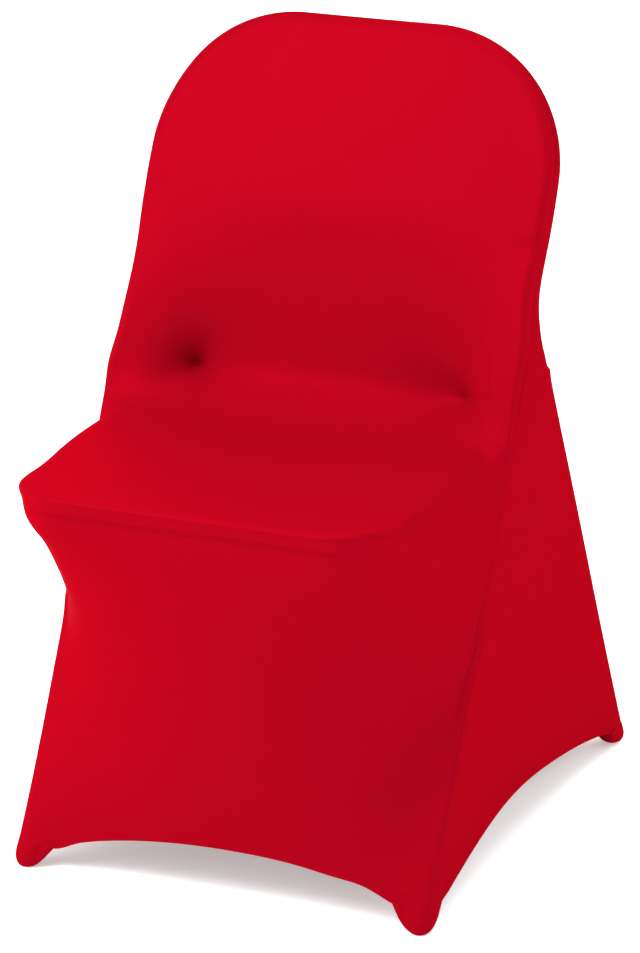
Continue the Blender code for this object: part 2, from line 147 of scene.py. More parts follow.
# How much harder a net pulls across, how far a round of pulling moves a knot towards and past
# its mean, and how many rounds are run
ACROSS_PULL = 3.5
PULL_GAIN = 1.85
COARSE_ROUNDS = 260
FINE_ROUNDS = 300
SIDE_ROUNDS = 700
SOFT_ROUNDS = 3
SIDE_SOFT_ROUNDS = 2
LOOSE_ROUNDS = 60

# Fine rows and columns, counted from the named ones, over which looser cloth fades in and out
BEHIND_IN = (-14, -2)
BEHIND_OUT = (2, 24)
BESIDE_IN = (-24, 0)
BESIDE_OUT = (-2, 8)
BESIDE_ACROSS = (-9, 1)

# The slow unevenness of the cloth: scale in metres and seed for each piece, its waves, and
# where it stays even, near hems and seams; then how sharply the cloth sinks at a seam
UNEVEN = {"front": (0.22, 3), "back": (0.25, 5), "side": (0.2, 7)}
WAVES = 5
WAVE_RATES = (0.6, 1.5)
UNEVEN_FADE = 0.0500
EVEN_HEM_Z = 0.0600
SIDE_EVEN_HEM_Z = 0.0700
SIDE_EVEN_TOP_Z = 0.4800
SIDE_EVEN_EDGE = 0.0200
GROOVE_POWER = 16

# Threads beside the seams, and a thread's ring of sides, its four rings and its two ends; and the
# painted light on the threads, their colour lifted above the cloth's as a painted highlight
STITCH_LENGTH = 0.0020
STITCH_EVERY = 0.0030
STITCH_THICK = 0.00014
STITCH_LIFT = -0.00015
STITCH_TURN = 9.0
STITCH_HOOP = 0.07
STITCH_LEG_Z = (0.0350, REAR_TOP_Z - 0.0040)
STITCH_SAMPLES = {"hoop": 420, "top": 80, "leg": 220}
THREAD_PAINTED_LIGHT = 1.5
BEAD_SIDES = 6
BEAD_ALONG = np.array([-0.5, -0.3, 0.3, 0.5])
BEAD_WIDE = np.array([0.25, 1.0, 1.0, 0.25])
BEAD_ENDS = ((0, 5, 4, 3), (0, 3, 2, 1), (18, 19, 20, 21), (18, 21, 22, 23))

# Sections of the front panel from the hem up: coarse rows, the hoop value where it ends, and
# the turns at which the cloth leaves the tube and at which its seam lies
FRONT_ROWS = (
    {"name": "hem", "rows": 0, "hoop": HEM_Z / SEAT_JOINT_Z, "leave": 86, "seam": 50},
    {"name": "shin", "rows": 4, "hoop": 0.40, "leave": 76, "seam": 40},
    {"name": "under_lip", "rows": 4, "hoop": 0.64, "leave": 50, "seam": 20},
    {"name": "crease", "rows": 1, "hoop": 0.67, "leave": 44, "seam": 18},
    {"name": "lip", "rows": 1, "hoop": 0.69, "leave": 40, "seam": 16},
    {"name": "rim", "rows": 1, "hoop": 0.71, "leave": 37, "seam": 14},
    {"name": "seat_rest", "rows": 6, "hoop": 0.95, "leave": 30, "seam": 8},
    {"name": "joint", "rows": 1, "hoop": 1.00, "leave": 50, "seam": 14},
    {"name": "back_edge", "rows": 6, "hoop": 1.79, "leave": 86, "seam": 26},
    {"name": "shoulder", "rows": 7, "hoop": 2.50, "leave": 88, "seam": 26},
)
TOP_HOOP = 4.0

# Front edge of the seat from its underside up: fine row after the underside, inset from the
# front, height, and how far round the corner the held part of the row runs
LIP_ROWS = (
    {"after": 0, "inset": 0.0030, "z": 0.4150, "corner": 40},
    {"after": 6, "inset": 0.0032, "z": 0.4265, "corner": 41},
    {"after": 8, "inset": 0.0042, "z": 0.4288, "corner": 42},
    {"after": 10, "inset": 0.0014, "z": 0.4312, "corner": 42},
    {"after": 13, "inset": 0.0002, "z": 0.4350, "corner": 43},
    {"after": 17, "inset": 0.0002, "z": 0.4410, "corner": 44},
    {"after": 21, "inset": 0.0018, "z": 0.4460, "corner": 45},
    {"after": 24, "inset": RIM_INSET, "z": 0.4478, "corner": 45},
)

# Reach of a pocket's rim from the foot's middle, by turn, for the front and rear feet
POCKET_RIM = (
    {"turn": -90, "front": 0.0180, "rear": 0.0190},
    {"turn": -64, "front": 0.0238, "rear": 0.0330},
    {"turn": -45, "front": 0.0200, "rear": 0.0203},
    {"turn": 0, "front": 0.0145, "rear": 0.0145},
    {"turn": 45, "front": 0.0154, "rear": 0.0154},
    {"turn": 90, "front": 0.0162, "rear": 0.0160},
    {"turn": 135, "front": 0.0223, "rear": 0.0223},
    {"turn": 153, "front": 0.0345, "rear": 0.0345},
    {"turn": 180, "front": 0.0190, "rear": 0.0190},
    {"turn": 225, "front": 0.0165, "rear": 0.0165},
    {"turn": 270, "front": 0.0180, "rear": 0.0190},
)

# How a band of cloth is shared out from where it leaves a tube to its seam
BAND_SHARES = np.array([0.14, 0.28, 0.42, 0.56, 0.70, 0.82, 0.91, 0.97, 1.0])

# Funnels where the cloth is drawn into the gap behind the seat: the middle of each and how
# deep its throat and its wide skirt go; then how wide both are, and which way they pull
DIMPLES = (
    {"x": -0.1495, "z": 0.4800, "throat": 0.0210, "skirt": 0.0062},
    {"x": 0.1655, "z": 0.4775, "throat": 0.0150, "skirt": 0.0060},
)
THROAT_WIDTH = 0.0062
SKIRT_WIDTH = 0.0270
DIMPLE_PULL = (0.0, 0.94, -0.34)
DIMPLE_REACH = 0.0600

# The knit: a loop's lean and rise, its relief and its painted shade, darker where it sinks, and the
# scale and detail of its noises
LOOP_LEAN = 2.4
LOOP_RISE = 1.3
LOOP_PAINTED_SHADE = 0.02
FUZZ_NOISE = (900.0, 2.0)
FUZZ_HEIGHT = 0.8
SLOW_NOISE = (9.0, 3.0)
ROUGHNESS_CHANGE = 0.12
BUMP_STRENGTH = 0.12
BUMP_DISTANCE = 0.0002
SATIN_TINT = (1.0, 0.12, 0.18, 1.0)

# The photograph's camera, its focal length and image in pixels, and the floor
CAMERA_AIM = Vector((0.0512, -0.0755, 0.4210))
CAMERA_AZIMUTH = 22.902
CAMERA_HEIGHT = 19.132
CAMERA_ROLL = -0.293
CAMERA_FAR = 4.4031
CAMERA_FOCAL = 4215.49
IMAGE_MIDDLE = (326.387, 473.254)
IMAGE_SIZE = (640, 953)
SENSOR_MM = 36.0
FLOOR_HALF = 40.0
FLOOR_ROUGHNESS = 0.9
LIGHT_AIM = Vector((0.0, 0.0, 0.4))
SUN_AWAY = 5.0

# Far soft lights: where each stands round the cover and above it in degrees, and its share
FAR_LIGHTS = (
    {"name": "front", "round": -10.0, "above": 45.0, "wide": 50.0, "share": 0.24},
    {"name": "front_left_low", "round": -35.0, "above": 10.0, "wide": 40.0, "share": 0.05},
    {"name": "left", "round": -90.0, "above": 30.0, "wide": 50.0, "share": 0.14},
    {"name": "top", "round": 0.0, "above": 88.0, "wide": 60.0, "share": 0.88},
    {"name": "back", "round": 200.0, "above": 34.0, "wide": 50.0, "share": 0.58},
    {"name": "back_right", "round": 135.0, "above": 35.0, "wide": 50.0, "share": 0.21},
)

# Near soft boxes: the middle of each, its side in metres and its power in watts
NEAR_LIGHTS = (
    {"name": "front_left_box", "place": (-0.8, -1.4, 1.9), "size": 1.0, "power": 27.0},
    {"name": "low_left_box", "place": (-1.2, -1.2, 0.6), "size": 0.8, "power": 3.0},
    {"name": "left_box", "place": (-1.7, -0.5, 0.65), "size": 0.6, "power": 10.0},
    {"name": "right_box", "place": (1.6, 0.2, 1.0), "size": 1.0, "power": 10.0},
)


# Small helpers for nets


def vectors(x, y, z):
    """Rows of x, y and z."""
    return np.stack(np.broadcast_arrays(x, y, z), axis=-1).astype(float)


def mirrored(points):
    """The points with x turned to minus x."""
    return points * np.array([-1.0, 1.0, 1.0])


def unit(rows):
    """Each row divided by its length."""
    return rows / np.maximum(np.linalg.norm(rows, axis=-1, keepdims=True), 1e-12)


def smooth_through(marks, values, at):
    """A curve through the marks that never overshoots them.

    Between two marks it is the cubic whose slope at each mark is the harmonic mean of the
    straight slopes on its two sides, or none where these point opposite ways.
    """
    marks, values = np.asarray(marks, float), np.asarray(values, float)
    wide = np.diff(marks)
    steep = np.diff(values) / wide
    before, after = steep[:-1], steep[1:]
    same = before * after > 0
    mean = 2 * before * after / np.where(same, before + after, 1.0)
    slope = np.concatenate([steep[:1], np.where(same, mean, 0.0), steep[-1:]])
    k = np.clip(np.searchsorted(marks, at, "right") - 1, 0, len(wide) - 1)
    t = (at - marks[k]) / wide[k]
    start = values[k] * (1 + 2 * t) * (1 - t) ** 2 + slope[k] * wide[k] * t * (1 - t) ** 2
    end = values[k + 1] * t**2 * (3 - 2 * t) + slope[k + 1] * wide[k] * t**2 * (t - 1)
    return start + end


def row_of(name):
    """The fine row at which a section of the front panel ends."""
    names = [station["name"] for station in FRONT_ROWS]
    rows = np.cumsum([station["rows"] for station in FRONT_ROWS])
    return int(rows[names.index(name)]) * FINE_ROWS


def along_rows(key):
    """A column of FRONT_ROWS, filled in smoothly for every fine row."""
    marks = np.cumsum([station["rows"] for station in FRONT_ROWS]) * FINE_ROWS
    return smooth_through(marks, [station[key] for station in FRONT_ROWS], np.arange(marks[-1] + 1))


# The frame's lines


def hoop_y(z):
    """Depth of the hoop's middle: the leg's slope times height, turning softly to the back's
    slope past the bend, by a softplus of the height above it."""
    past = BEND_SOFTNESS * np.logaddexp(0.0, (z - BEND_Z) / BEND_SOFTNESS)
    return FRONT_FOOT_Y + LEG_SLOPE * z + (math.tan(BACK_LEAN) - LEG_SLOPE) * past


def leaning(lean):
    """The ways along and to the front of a tube that leans back by an angle: its sine and
    cosine in Y and Z, and the same turned by a right angle."""
    return vectors(0, np.sin(lean), np.cos(lean)), vectors(0, -np.cos(lean), np.sin(lean))


def hoop(where):
    """Middle, outward, front and along directions and lean of the hoop's tube at hoop values.

    0 to 1 runs up the front leg, 1 to 2 up the back, 2 to 3 round a quarter circle and 3 to 4
    straight to the middle of the top.
    """
    where = np.atleast_1d(np.asarray(where, float))
    leg = np.clip(where, 0, 1) * SEAT_JOINT_Z
    height = leg + np.clip(where - 1, 0, 1) * (SHOULDER_Z - SEAT_JOINT_Z)
    turn = np.clip(where - 2, 0, 1) * math.pi / 2
    radius = SHOULDER_RADIUS - WRAP
    across = np.interp(height, [0, SHOULDER_Z], [FOOT_X, UPRIGHT_X]) - radius
    across -= WAIST_IN * np.exp(-(((height - WAIST_Z) / WAIST_SPREAD) ** 2))
    across = (across + radius * np.cos(turn)) * (1 - np.clip(where - 3, 0, 1))
    up = radius * np.sin(turn)
    deep = hoop_y(height) + up * math.sin(BACK_LEAN)
    middle = vectors(across, deep, height + up * math.cos(BACK_LEAN))
    lean = np.arctan((hoop_y(height + 0.001) - hoop_y(height - 0.001)) / 0.002)
    along, front = leaning(lean)
    outward = vectors(1, 0, 0) * np.cos(turn)[:, None] + along * np.sin(turn)[:, None]
    return middle, outward, front, along, lean


def rear_leg(height):
    """The same for a rear leg, a straight line between its foot and its top, at heights."""
    height = np.atleast_1d(np.asarray(height, float))
    share = height / REAR_TOP_Z
    x = REAR_FOOT_X + share * (REAR_TOP_X - REAR_FOOT_X)
    middle = vectors(x, REAR_FOOT_Y + share * (REAR_TOP_Y - REAR_FOOT_Y), height)
    lean = np.full(len(height), math.atan((REAR_TOP_Y - REAR_FOOT_Y) / REAR_TOP_Z))
    along, front = leaning(lean)
    return middle, vectors(1 + 0 * lean, 0, 0), front, along, lean


def rear_of_back(where):
    """The line that the back panel bends round: the hoop's, moved to the rear leg's top by an
    offset that fades out above the seat."""
    middle, outward, _, _, lean = hoop(where)
    start, _, _, _, rear_lean = rear_leg(REAR_TOP_Z)
    fade = np.clip(1 - (np.atleast_1d(where) - 1) / REAR_FADE, 0, 1) ** REAR_FADE_POWER
    lean = lean + (rear_lean - lean) * fade
    along, front = leaning(lean)
    return middle + (start - hoop(1.0)[0]) * fade[:, None], outward, front, along, lean


def wrapped(line, turn, lift=0.0):
    """Points and normals on the cloth round a tube, at turns in degrees.

    The normal is outward times the turn's cosine plus front times its sine. Near the floor the
    points slide along the tube, so that the hem is cut level.
    """
    middle, outward, front, along, lean = line
    turn = np.radians(np.broadcast_to(turn, len(middle)))[:, None]
    normal = outward * np.cos(turn) + front * np.sin(turn)
    slide = np.clip(1 - (middle[:, 2:] - HEM_Z) / SLIDE_FADE, 0, 1)
    level = along * np.sin(turn) * np.tan(lean)[:, None] * slide
    return middle + (WRAP + lift) * (normal - level), normal


# Taut nets


def neighbours(net, mirror):
    """Each knot's neighbours above, below, right and left. A knot at an edge is its own where
    it has none; with mirror, column 0 has the mirror image of column 1 on its left."""
    up = np.concatenate([net[1:], net[-1:]])
    down = np.concatenate([net[:1], net[:-1]])
    right = np.concatenate([net[:, 1:], net[:, -1:]], axis=1)
    first = mirrored(net[:, 1:2]) if mirror else net[:, :1]
    return up, down, right, np.concatenate([first, net[:, :-1]], axis=1)


def pulled(grid, held, rounds, mirror):
    """The net after rounds of over-relaxation, in which each free knot moves past the mean of
    its neighbours, those across weighted by the pull across."""
    ratio = ACROSS_PULL * (FINE_COLUMNS / FINE_ROWS) ** 2
    rows, columns = held.shape
    net = grid.copy()
    parity = np.add.outer(np.arange(rows), np.arange(columns)) % 2
    turns = [(~held & (parity == side))[..., None] for side in (0, 1)]
    for _ in range(rounds):
        for turn in turns:
            up, down, right, left = neighbours(net, mirror)
            mean = (up + down + ratio * (left + right)) / (2 + 2 * ratio)
            net = np.where(turn, net + PULL_GAIN * (mean - net), net)
    return net


def taut(grid, held, mirror=True):
    """The held knots joined by a taut net: solved on every few knots first, then on all."""
    rows, columns = held.shape
    every = np.arange(0, rows, FINE_ROWS), np.arange(0, columns, FINE_COLUMNS)
    if every[0][-1] != rows - 1 or every[1][-1] != columns - 1:
        raise RuntimeError("a net's knots aren't whole multiples of the coarse ones")
    coarse = grid[np.ix_(*every)]
    known = held[np.ix_(*every)]
    for axis in (0, 1):
        coarse = np.where(known[..., None], coarse, filled(coarse, known, axis))
        known = known | filled(known[..., None].astype(float), known, axis)[..., 0].astype(bool)
    small = pulled(coarse, held[np.ix_(*every)], COARSE_ROUNDS, mirror)
    start = spread(spread(small, FINE_ROWS, 0), FINE_COLUMNS, 1)
    return pulled(np.where(held[..., None], grid, start), held, FINE_ROUNDS, mirror)


def filled(values, known, axis):
    """Unknown knots filled from the last known one before them along an axis."""
    length = known.shape[axis]
    shape = [1, 1]
    shape[axis] = length
    last = np.where(known, np.arange(length).reshape(shape), 0)
    last = np.maximum.accumulate(last, axis=axis)
    return np.take_along_axis(values, last[..., None], axis=axis)


def spread(values, times, axis):
    """Straight steps between neighbouring knots, times of them for each one."""
    values = np.moveaxis(values, axis, 0)
    at = np.arange((len(values) - 1) * times + 1) / times
    low = np.minimum(at.astype(int), len(values) - 2)
    share = (at - low).reshape(-1, *[1] * (values.ndim - 1))
    return np.moveaxis(values[low] * (1 - share) + values[low + 1] * share, 0, axis)


def softened(net, rounds, fixed, mirror=True):
    """The net after rounds that move each knot that isn't fixed half way to its neighbours'
    mean."""
    for _ in range(rounds):
        up, down, right, left = neighbours(net, mirror)
        net = np.where(fixed[..., None], net, net / 2 + (up + down + left + right) / 8)
    return net


def edges_of(half):
    """Marks on the hem, the top row and the outer column of a net's right half."""
    edge = np.zeros(half.shape[:2], bool)
    edge[[0, -1]] = True
    edge[:, -1] = True
    return edge


def both_halves(half):
    """A net's right half, from the middle outward, joined to its mirror image."""
    return np.concatenate([mirrored(half[:, :0:-1]), half], axis=1)


def arch(share, top):
    """Height of a hem: a parabola from its top at share 0 to the pocket's rim at share 1."""
    return HEM_Z + (top - HEM_Z) * np.clip(1 - share**2, 0, 1)


# The front panel's net


def lip_net():
    """Knots along the front edge of the seat, a row for each fine row of the lip.

    Each row runs straight from the middle and then along a circle round the seat's corner;
    the rows' insets and heights follow the lip's profile.
    """
    marks = [row_of("under_lip") + lip["after"] for lip in LIP_ROWS]
    rows = np.arange(marks[0], marks[-1] + 1)
    inset, z, corner = (
        smooth_through(marks, [lip[key] for lip in LIP_ROWS], rows)[:, None]
        for key in ("inset", "z", "corner")
    )
    straight = SEAT_HALF_WIDTH - SEAT_CORNER
    share = np.linspace(0, 1, TO_RIM * FINE_COLUMNS + 1)
    way = share * (straight + np.radians(corner) * SEAT_CORNER)
    turns = np.clip(way - straight, 0, None) / SEAT_CORNER
    x = np.minimum(way, straight) + (SEAT_CORNER - inset) * np.sin(turns)
    y = SEAT_FRONT_Y + SEAT_CORNER - (SEAT_CORNER - inset) * np.cos(turns)
    return rows, vectors(x, y, z)


def hold_seat(half, held):
    """Knots on the seat: a dished top, and a side edge that rolls over a quarter ellipse."""
    first, last = row_of("rim"), row_of("seat_rest")
    count = TO_RIM * FINE_COLUMNS
    rim = half[first, : count + 1].copy()
    corner_y = SEAT_FRONT_Y + SEAT_CORNER
    radius = SEAT_CORNER - RIM_INSET
    rows = np.arange(first, last + 1)
    share = ((rows - first) / (last - first)) ** SEAT_ROW_EASE
    side_y = rim[-1, 1] + share * (SEAT_REST_Y - rim[-1, 1])
    centre_x = SEAT_HALF_WIDTH + share * (SEAT_REAR_HALF_WIDTH - SEAT_HALF_WIDTH) - SEAT_CORNER
    ahead = np.maximum(corner_y - side_y, 0)
    edge_x = centre_x + np.sqrt(radius**2 - ahead**2)
    x = rim[:, 0] * (edge_x / rim[-1, 0])[:, None]
    y = rim[:, 1] + share[:, None] * (SEAT_REST_Y - rim[:, 1])
    dish = SEAT_DISH * np.sin(math.pi * share)[:, None] * np.cos(math.pi / 2 * x / edge_x[:, None])
    edge = (SEAT_JOINT_Z - rim[-1, 2]) * np.exp(-(rows - first) / SEAT_EDGE_ROWS)[:, None]
    half[first : last + 1, : count + 1] = vectors(x, y, SEAT_JOINT_Z - dish - edge)

    turn_share = (90 - RIM_TURN) / (90 - LIP_ROWS[-1]["corner"])
    turn = turn_share * np.arcsin(ahead / radius)
    outer_x = centre_x + SEAT_CORNER * np.cos(turn)
    outer_y = np.maximum(side_y, corner_y) - SEAT_CORNER * np.sin(turn)
    roll = np.linspace(0, math.pi / 2, FINE_COLUMNS + 1)[1:]
    inner = half[first : last + 1, count : count + 1]
    over = np.sin(roll)
    half[first : last + 1, count + 1 : count + FINE_COLUMNS + 1] = vectors(
        inner[..., 0] + (outer_x[:, None] - inner[..., 0]) * over,
        inner[..., 1] + (outer_y[:, None] - inner[..., 1]) * over,
        inner[..., 2] - RIM_DROP * (1 - np.cos(roll)),
    )
    held[first : last + 1, : count + FINE_COLUMNS + 1] = True


def hold_trough(half, held):
    """Knots drawn back behind the seat, deepest at the dimple by the share's power."""
    row = row_of("joint") + FINE_ROWS
    count = DIMPLE_COLUMN * FINE_COLUMNS
    share = np.arange(count + 1) / count
    deep = share**TROUGH_POWER
    half[row, : count + 1] = vectors(
        DIMPLE_X * share,
        TROUGH_Y + (DIMPLE_Y - TROUGH_Y) * deep,
        TROUGH_Z + (DIMPLE_Z - TROUGH_Z) * deep,
    )
    held[row, : count + 1] = True


def hold_backrest(half, held, line, turn):
    """The row on the backrest's lower edge, straight across between the two uprights."""
    row = row_of("back_edge")
    share = np.linspace(0, 1, half.shape[1])
    end, _ = wrapped(line, turn)
    half[row] = vectors(end[0, 0] * share, end[0, 1], end[0, 2])
    held[row] = True


def front_net():
    """The front panel's net from the hem to the shoulder."""
    where = along_rows("hoop")
    columns = HALF * FINE_COLUMNS
    half = np.zeros((len(where), columns + 1, 3))
    held = edges_of(half)
    half[:, -1], _ = wrapped(hoop(where), along_rows("leave"))

    share = np.linspace(0, 1, columns + 1)
    tip = (FOOT_X - LOBE) / half[0, -1, 0]
    reach = np.clip(share / tip, 0, 1)
    bow = HEM_BOW * (1 - reach**2)
    half[0] = vectors(half[0, -1, 0] * share, half[0, -1, 1] - bow, arch(reach, FRONT_ARCH))
    half[-1], _ = wrapped(hoop(TOP_HOOP + (where[-1] - TOP_HOOP) * share), along_rows("leave")[-1])

    rows, lip = lip_net()
    half[rows, : lip.shape[1]] = lip
    held[rows, : lip.shape[1]] = True
    hold_seat(half, held)
    hold_trough(half, held)
    row = row_of("back_edge")
    hold_backrest(half, held, hoop(where[row]), along_rows("leave")[row])
    half = softened(taut(half, held), SOFT_ROUNDS, edges_of(half))

    rows, across = np.arange(len(where))[:, None], np.arange(columns + 1)[None]
    lip, rest, edge = row_of("under_lip"), row_of("seat_rest"), row_of("back_edge")
    behind = ramp(rows - rest, BEHIND_IN) * (1 - ramp(rows - edge, BEHIND_OUT))
    beside = ramp(rows - lip, BESIDE_IN) * (1 - ramp(rows - rest, BESIDE_OUT))
    beside = beside * ramp(across - TO_RIM * FINE_COLUMNS, BESIDE_ACROSS)
    zone = np.maximum(behind, beside)[..., None]
    loose = softened(half, LOOSE_ROUNDS, edges_of(half))
    return both_halves(half + zone * (loose - half)), where


def ramp(value, ends):
    """A smooth step from 0 at the first end to 1 at the second."""
    t = np.clip((value - ends[0]) / (ends[1] - ends[0]), 0, 1)
    return t * t * (3 - 2 * t)


# Meshes


def quads(index):
    """Faces between neighbouring rows of point numbers, seen with rows up and columns right."""
    corners = (index[:-1, :-1], index[:-1, 1:], index[1:, 1:], index[1:, :-1])
    return np.stack([corner.ravel() for corner in corners], axis=1)


def point_normals(points, faces):
    """Unit normals at the points, as the mean of the faces round each, by their area."""
    a, b, c, d = (points[faces[:, k]] for k in range(4))
    flat = np.cross(c - a, d - b)
    shares = (np.repeat(flat[:, k], 4) for k in range(3))
    total = [np.bincount(faces.ravel(), share, len(points)) for share in shares]
    return unit(np.stack(total, axis=1))


def open_edges(faces):
    """Edges that belong to one face, each in the direction in which that face runs."""
    edges = np.concatenate([faces[:, [k, (k + 1) % 4]] for k in range(4)])
    size = edges.max() + 1
    there = edges[:, 0] * size + edges[:, 1]
    back = edges[:, 1] * size + edges[:, 0]
    return edges[~np.isin(back, there)]


def whole_band(half):
    """A band of knots along the right half of an edge, joined to its mirror image."""
    return np.concatenate([half, mirrored(half[-2::-1])])


def last_but_one(points, where):
    """Numbers of the points on the last band but one, where the cloth folds in at its seam."""
    long = 2 * where - 1
    return points - 2 * long + np.arange(long)


def cloth_lengths(net):
    """Lengths along a net's rows from its first column, and along its columns from its first
    row."""
    across = np.cumsum(np.linalg.norm(np.diff(net, axis=1), axis=-1), axis=1)
    up = np.cumsum(np.linalg.norm(np.diff(net, axis=0), axis=-1), axis=0)
    return np.pad(across, ((0, 0), (1, 0))), np.pad(up, ((1, 0), (0, 0)))


def with_bands(mesh, inner, bands, way, flip):
    """A mesh's points, faces and cloth coordinates with bands of points added outward from its
    inner edge. A band's cloth coordinates are the last one's plus its distance along its way."""
    points, faces, cloth = mesh
    last, at = points[inner], cloth[inner]
    for band in bands:
        whole = whole_band(band)
        outer = len(points) + np.arange(len(whole))
        strip = quads(np.stack([inner, outer], axis=1))
        faces = np.concatenate([faces, strip[:, ::-1] if flip else strip])
        at = at + way * np.linalg.norm(whole - last, axis=1, keepdims=True)
        points, cloth = np.concatenate([points, whole]), np.concatenate([cloth, at])
        inner, last = outer, whole
    return points, faces, cloth


def net_with_bands(net, where, bands, flip):
    """Points, faces and cloth coordinates of a net with bands along its sides and top.

    The cloth coordinates are the lengths along the net's rows from the middle and along its
    columns from the hem.
    """
    rows, columns = net.shape[:2]
    index = np.arange(rows * columns).reshape(rows, columns)
    edge = np.concatenate([index[:, -1], index[-1, -2:0:-1], index[::-1, 0]])
    u, v = cloth_lengths(net)
    u = u - u[:, columns // 2 : columns // 2 + 1]
    cloth = np.stack([u, v], axis=-1).reshape(-1, 2)
    angle = np.clip(where - 2, 0, 1) * math.pi / 2
    half_way = np.stack([np.cos(angle), np.sin(angle)], axis=1)
    way = np.concatenate([half_way, half_way[-2::-1] * np.array([-1.0, 1.0])])
    faces = quads(index)[:, ::-1] if flip else quads(index)
    return with_bands((net.reshape(-1, 3), faces, cloth), edge, bands, way, flip)


def make_mesh(name, points, groups, cloth, finish, crisp=()):
    """A smooth mesh of groups of faces with a UV map in metres of cloth, and sharp edges
    between its crisp points."""
    mesh = bpy.data.meshes.new(name)
    mesh.from_pydata(points.tolist(), [], [face for group in groups for face in group.tolist()])
    corners = np.concatenate([group.ravel() for group in groups])
    layer = mesh.uv_layers.new(name="cloth")
    layer.data.foreach_set("uv", cloth[corners].astype(np.float32).ravel())
    mesh.materials.append(finish)
    mesh.shade_smooth()
    sharpen(mesh, crisp)
    piece = bpy.data.objects.new(name, mesh)
    bpy.context.collection.objects.link(piece)
    return piece


def sharpen(mesh, crisp):
    """Sharp edges where both ends are crisp points, on the sheet's outside or on its inside."""
    ends = np.empty(2 * len(mesh.edges), np.int32)
    mesh.edges.foreach_get("vertices", ends)
    both = np.isin(ends, crisp).reshape(-1, 2).all(axis=1)
    half = len(mesh.vertices) // 2
    same = (ends.reshape(-1, 2) < half).sum(axis=1) != 1
    mesh.attributes.new("sharp_edge", "BOOLEAN", "EDGE").data.foreach_set("value", both & same)
    mesh.update()


def cloth_piece(name, points, faces, cloth, finish, folds=()):
    """A closed sheet of the cloth's thickness, with these points on its outside, crisp at its
    rim and along the points where it folds in at a seam."""
    thick = bpy.context.scene.cover_shape.thickness
    count = len(points)
    rim = open_edges(faces)
    sides = np.stack([rim[:, 1], rim[:, 0], rim[:, 0] + count, rim[:, 1] + count], axis=1)
    body = np.concatenate([points, points - thick * point_normals(points, faces)])
    every = np.concatenate([faces, faces[:, ::-1] + count, sides])
    crisp = np.concatenate([rim.ravel(), np.asarray(folds, int)])
    crisp = np.concatenate([crisp, crisp + count])
    return make_mesh(name, body, [every], np.concatenate([cloth, cloth]), finish, crisp)


def dress(piece, node):
    """The piece rides on the root body and stands for the node, whose solid it hides."""
    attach(piece, "root")
    if node:
        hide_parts(node)


# The cloth's relief


# Places where the cloth stands out from or sinks below the plain form, listed one by one: the
# middle of each, its spread along each axis and its move, in metres, and whether it acts on
# both hands
SWELLS = (
    ((-0.2340, 0.0150, 0.4850), (0.030, 0.060, 0.024), (-0.0040, 0.0000, 0.0000), False),
    ((-0.2080, -0.0900, 0.4450), (0.024, 0.100, 0.030), (-0.0085, 0.0000, 0.0030), True),
    ((-0.2080, -0.2800, 0.4300), (0.030, 0.045, 0.035), (-0.0050, 0.0000, 0.0000), True),
    ((-0.1900, -0.2850, 0.4080), (0.030, 0.040, 0.020), (-0.0045, -0.0010, 0.0000), True),
    ((-0.2050, -0.2300, 0.3200), (0.050, 0.060, 0.060), (-0.0025, 0.0000, 0.0000), True),
    ((-0.2130, -0.1600, 0.4450), (0.020, 0.050, 0.020), (-0.0030, 0.0000, 0.0000), True),
    ((0.1650, -0.2450, 0.0400), (0.030, 0.030, 0.024), (0.0000, 0.0000, 0.0050), False),
    ((-0.2380, -0.1100, 0.2620), (0.030, 0.050, 0.018), (-0.0030, 0.0000, 0.0000), True),
    ((-0.2080, 0.1400, 0.7520), (0.055, 0.080, 0.070), (0.0040, 0.0000, -0.0010), False),
    ((0.2300, 0.0850, 0.5280), (0.030, 0.030, 0.016), (0.0020, 0.0040, 0.0000), True),
    ((-0.1850, -0.2350, 0.0300), (0.016, 0.030, 0.020), (0.0000, 0.0000, -0.0040), False),
    ((0.1700, -0.2000, 0.2000), (0.080, 0.120, 0.085), (0.0000, 0.0075, 0.0000), False),
    ((0.1980, 0.0300, 0.5000), (0.012, 0.030, 0.030), (0.0000, -0.0035, 0.0010), False),
    ((0.1970, -0.2400, 0.0400), (0.020, 0.030, 0.009), (0.0000, -0.0022, 0.0000), False),
    ((-0.2160, 0.0830, 0.6630), (0.012, 0.030, 0.010), (0.0010, 0.0016, 0.0000), False),
    ((0.2170, 0.0780, 0.6430), (0.012, 0.030, 0.010), (-0.0010, 0.0018, 0.0000), False),
    ((0.2260, 0.0450, 0.5450), (0.030, 0.050, 0.035), (0.0030, 0.0000, 0.0000), False),
    ((-0.2235, -0.2410, 0.0000), (0.060, 0.060, 0.060), (0.0000, -0.0080, 0.0000), False),
    ((0.2235, -0.2410, 0.0000), (0.060, 0.060, 0.050), (0.0020, -0.0080, 0.0000), False),
    ((0.2385, 0.3120, 0.0200), (0.050, 0.060, 0.090), (0.0026, -0.0045, 0.0000), True),
    ((0.1000, -0.2400, 0.0600), (0.070, 0.030, 0.040), (0.0000, 0.0000, 0.0028), False),
    ((0.2400, -0.0400, 0.0650), (0.030, 0.130, 0.045), (0.0000, 0.0000, 0.0095), True),
)


def swollen(points):
    """The points with every swell added, each falling off as a bell curve along each axis."""
    moved = points.copy()
    for middle, spread_out, move, both_hands in SWELLS:
        for hand in (1.0, -1.0) if both_hands else (1.0,):
            turn = np.array([hand, 1.0, 1.0])
            apart = (points - np.array(middle) * turn) / np.array(spread_out)
            near = np.exp(-(apart**2).sum(axis=-1, keepdims=True))
            moved += near * np.array(move) * turn
    return moved


def bumpy(points, scale, seed):
    """A smooth uneven value from -1 to 1: the mean of slow waves in mixed directions."""
    rng = np.random.default_rng(seed)
    total = np.zeros(len(points))
    for _ in range(WAVES):
        way = unit(rng.normal(size=3)) * rng.uniform(*WAVE_RATES) * 2 * math.pi / scale
        total += np.sin(points @ way + rng.uniform(0, 2 * math.pi))
    return total / WAVES


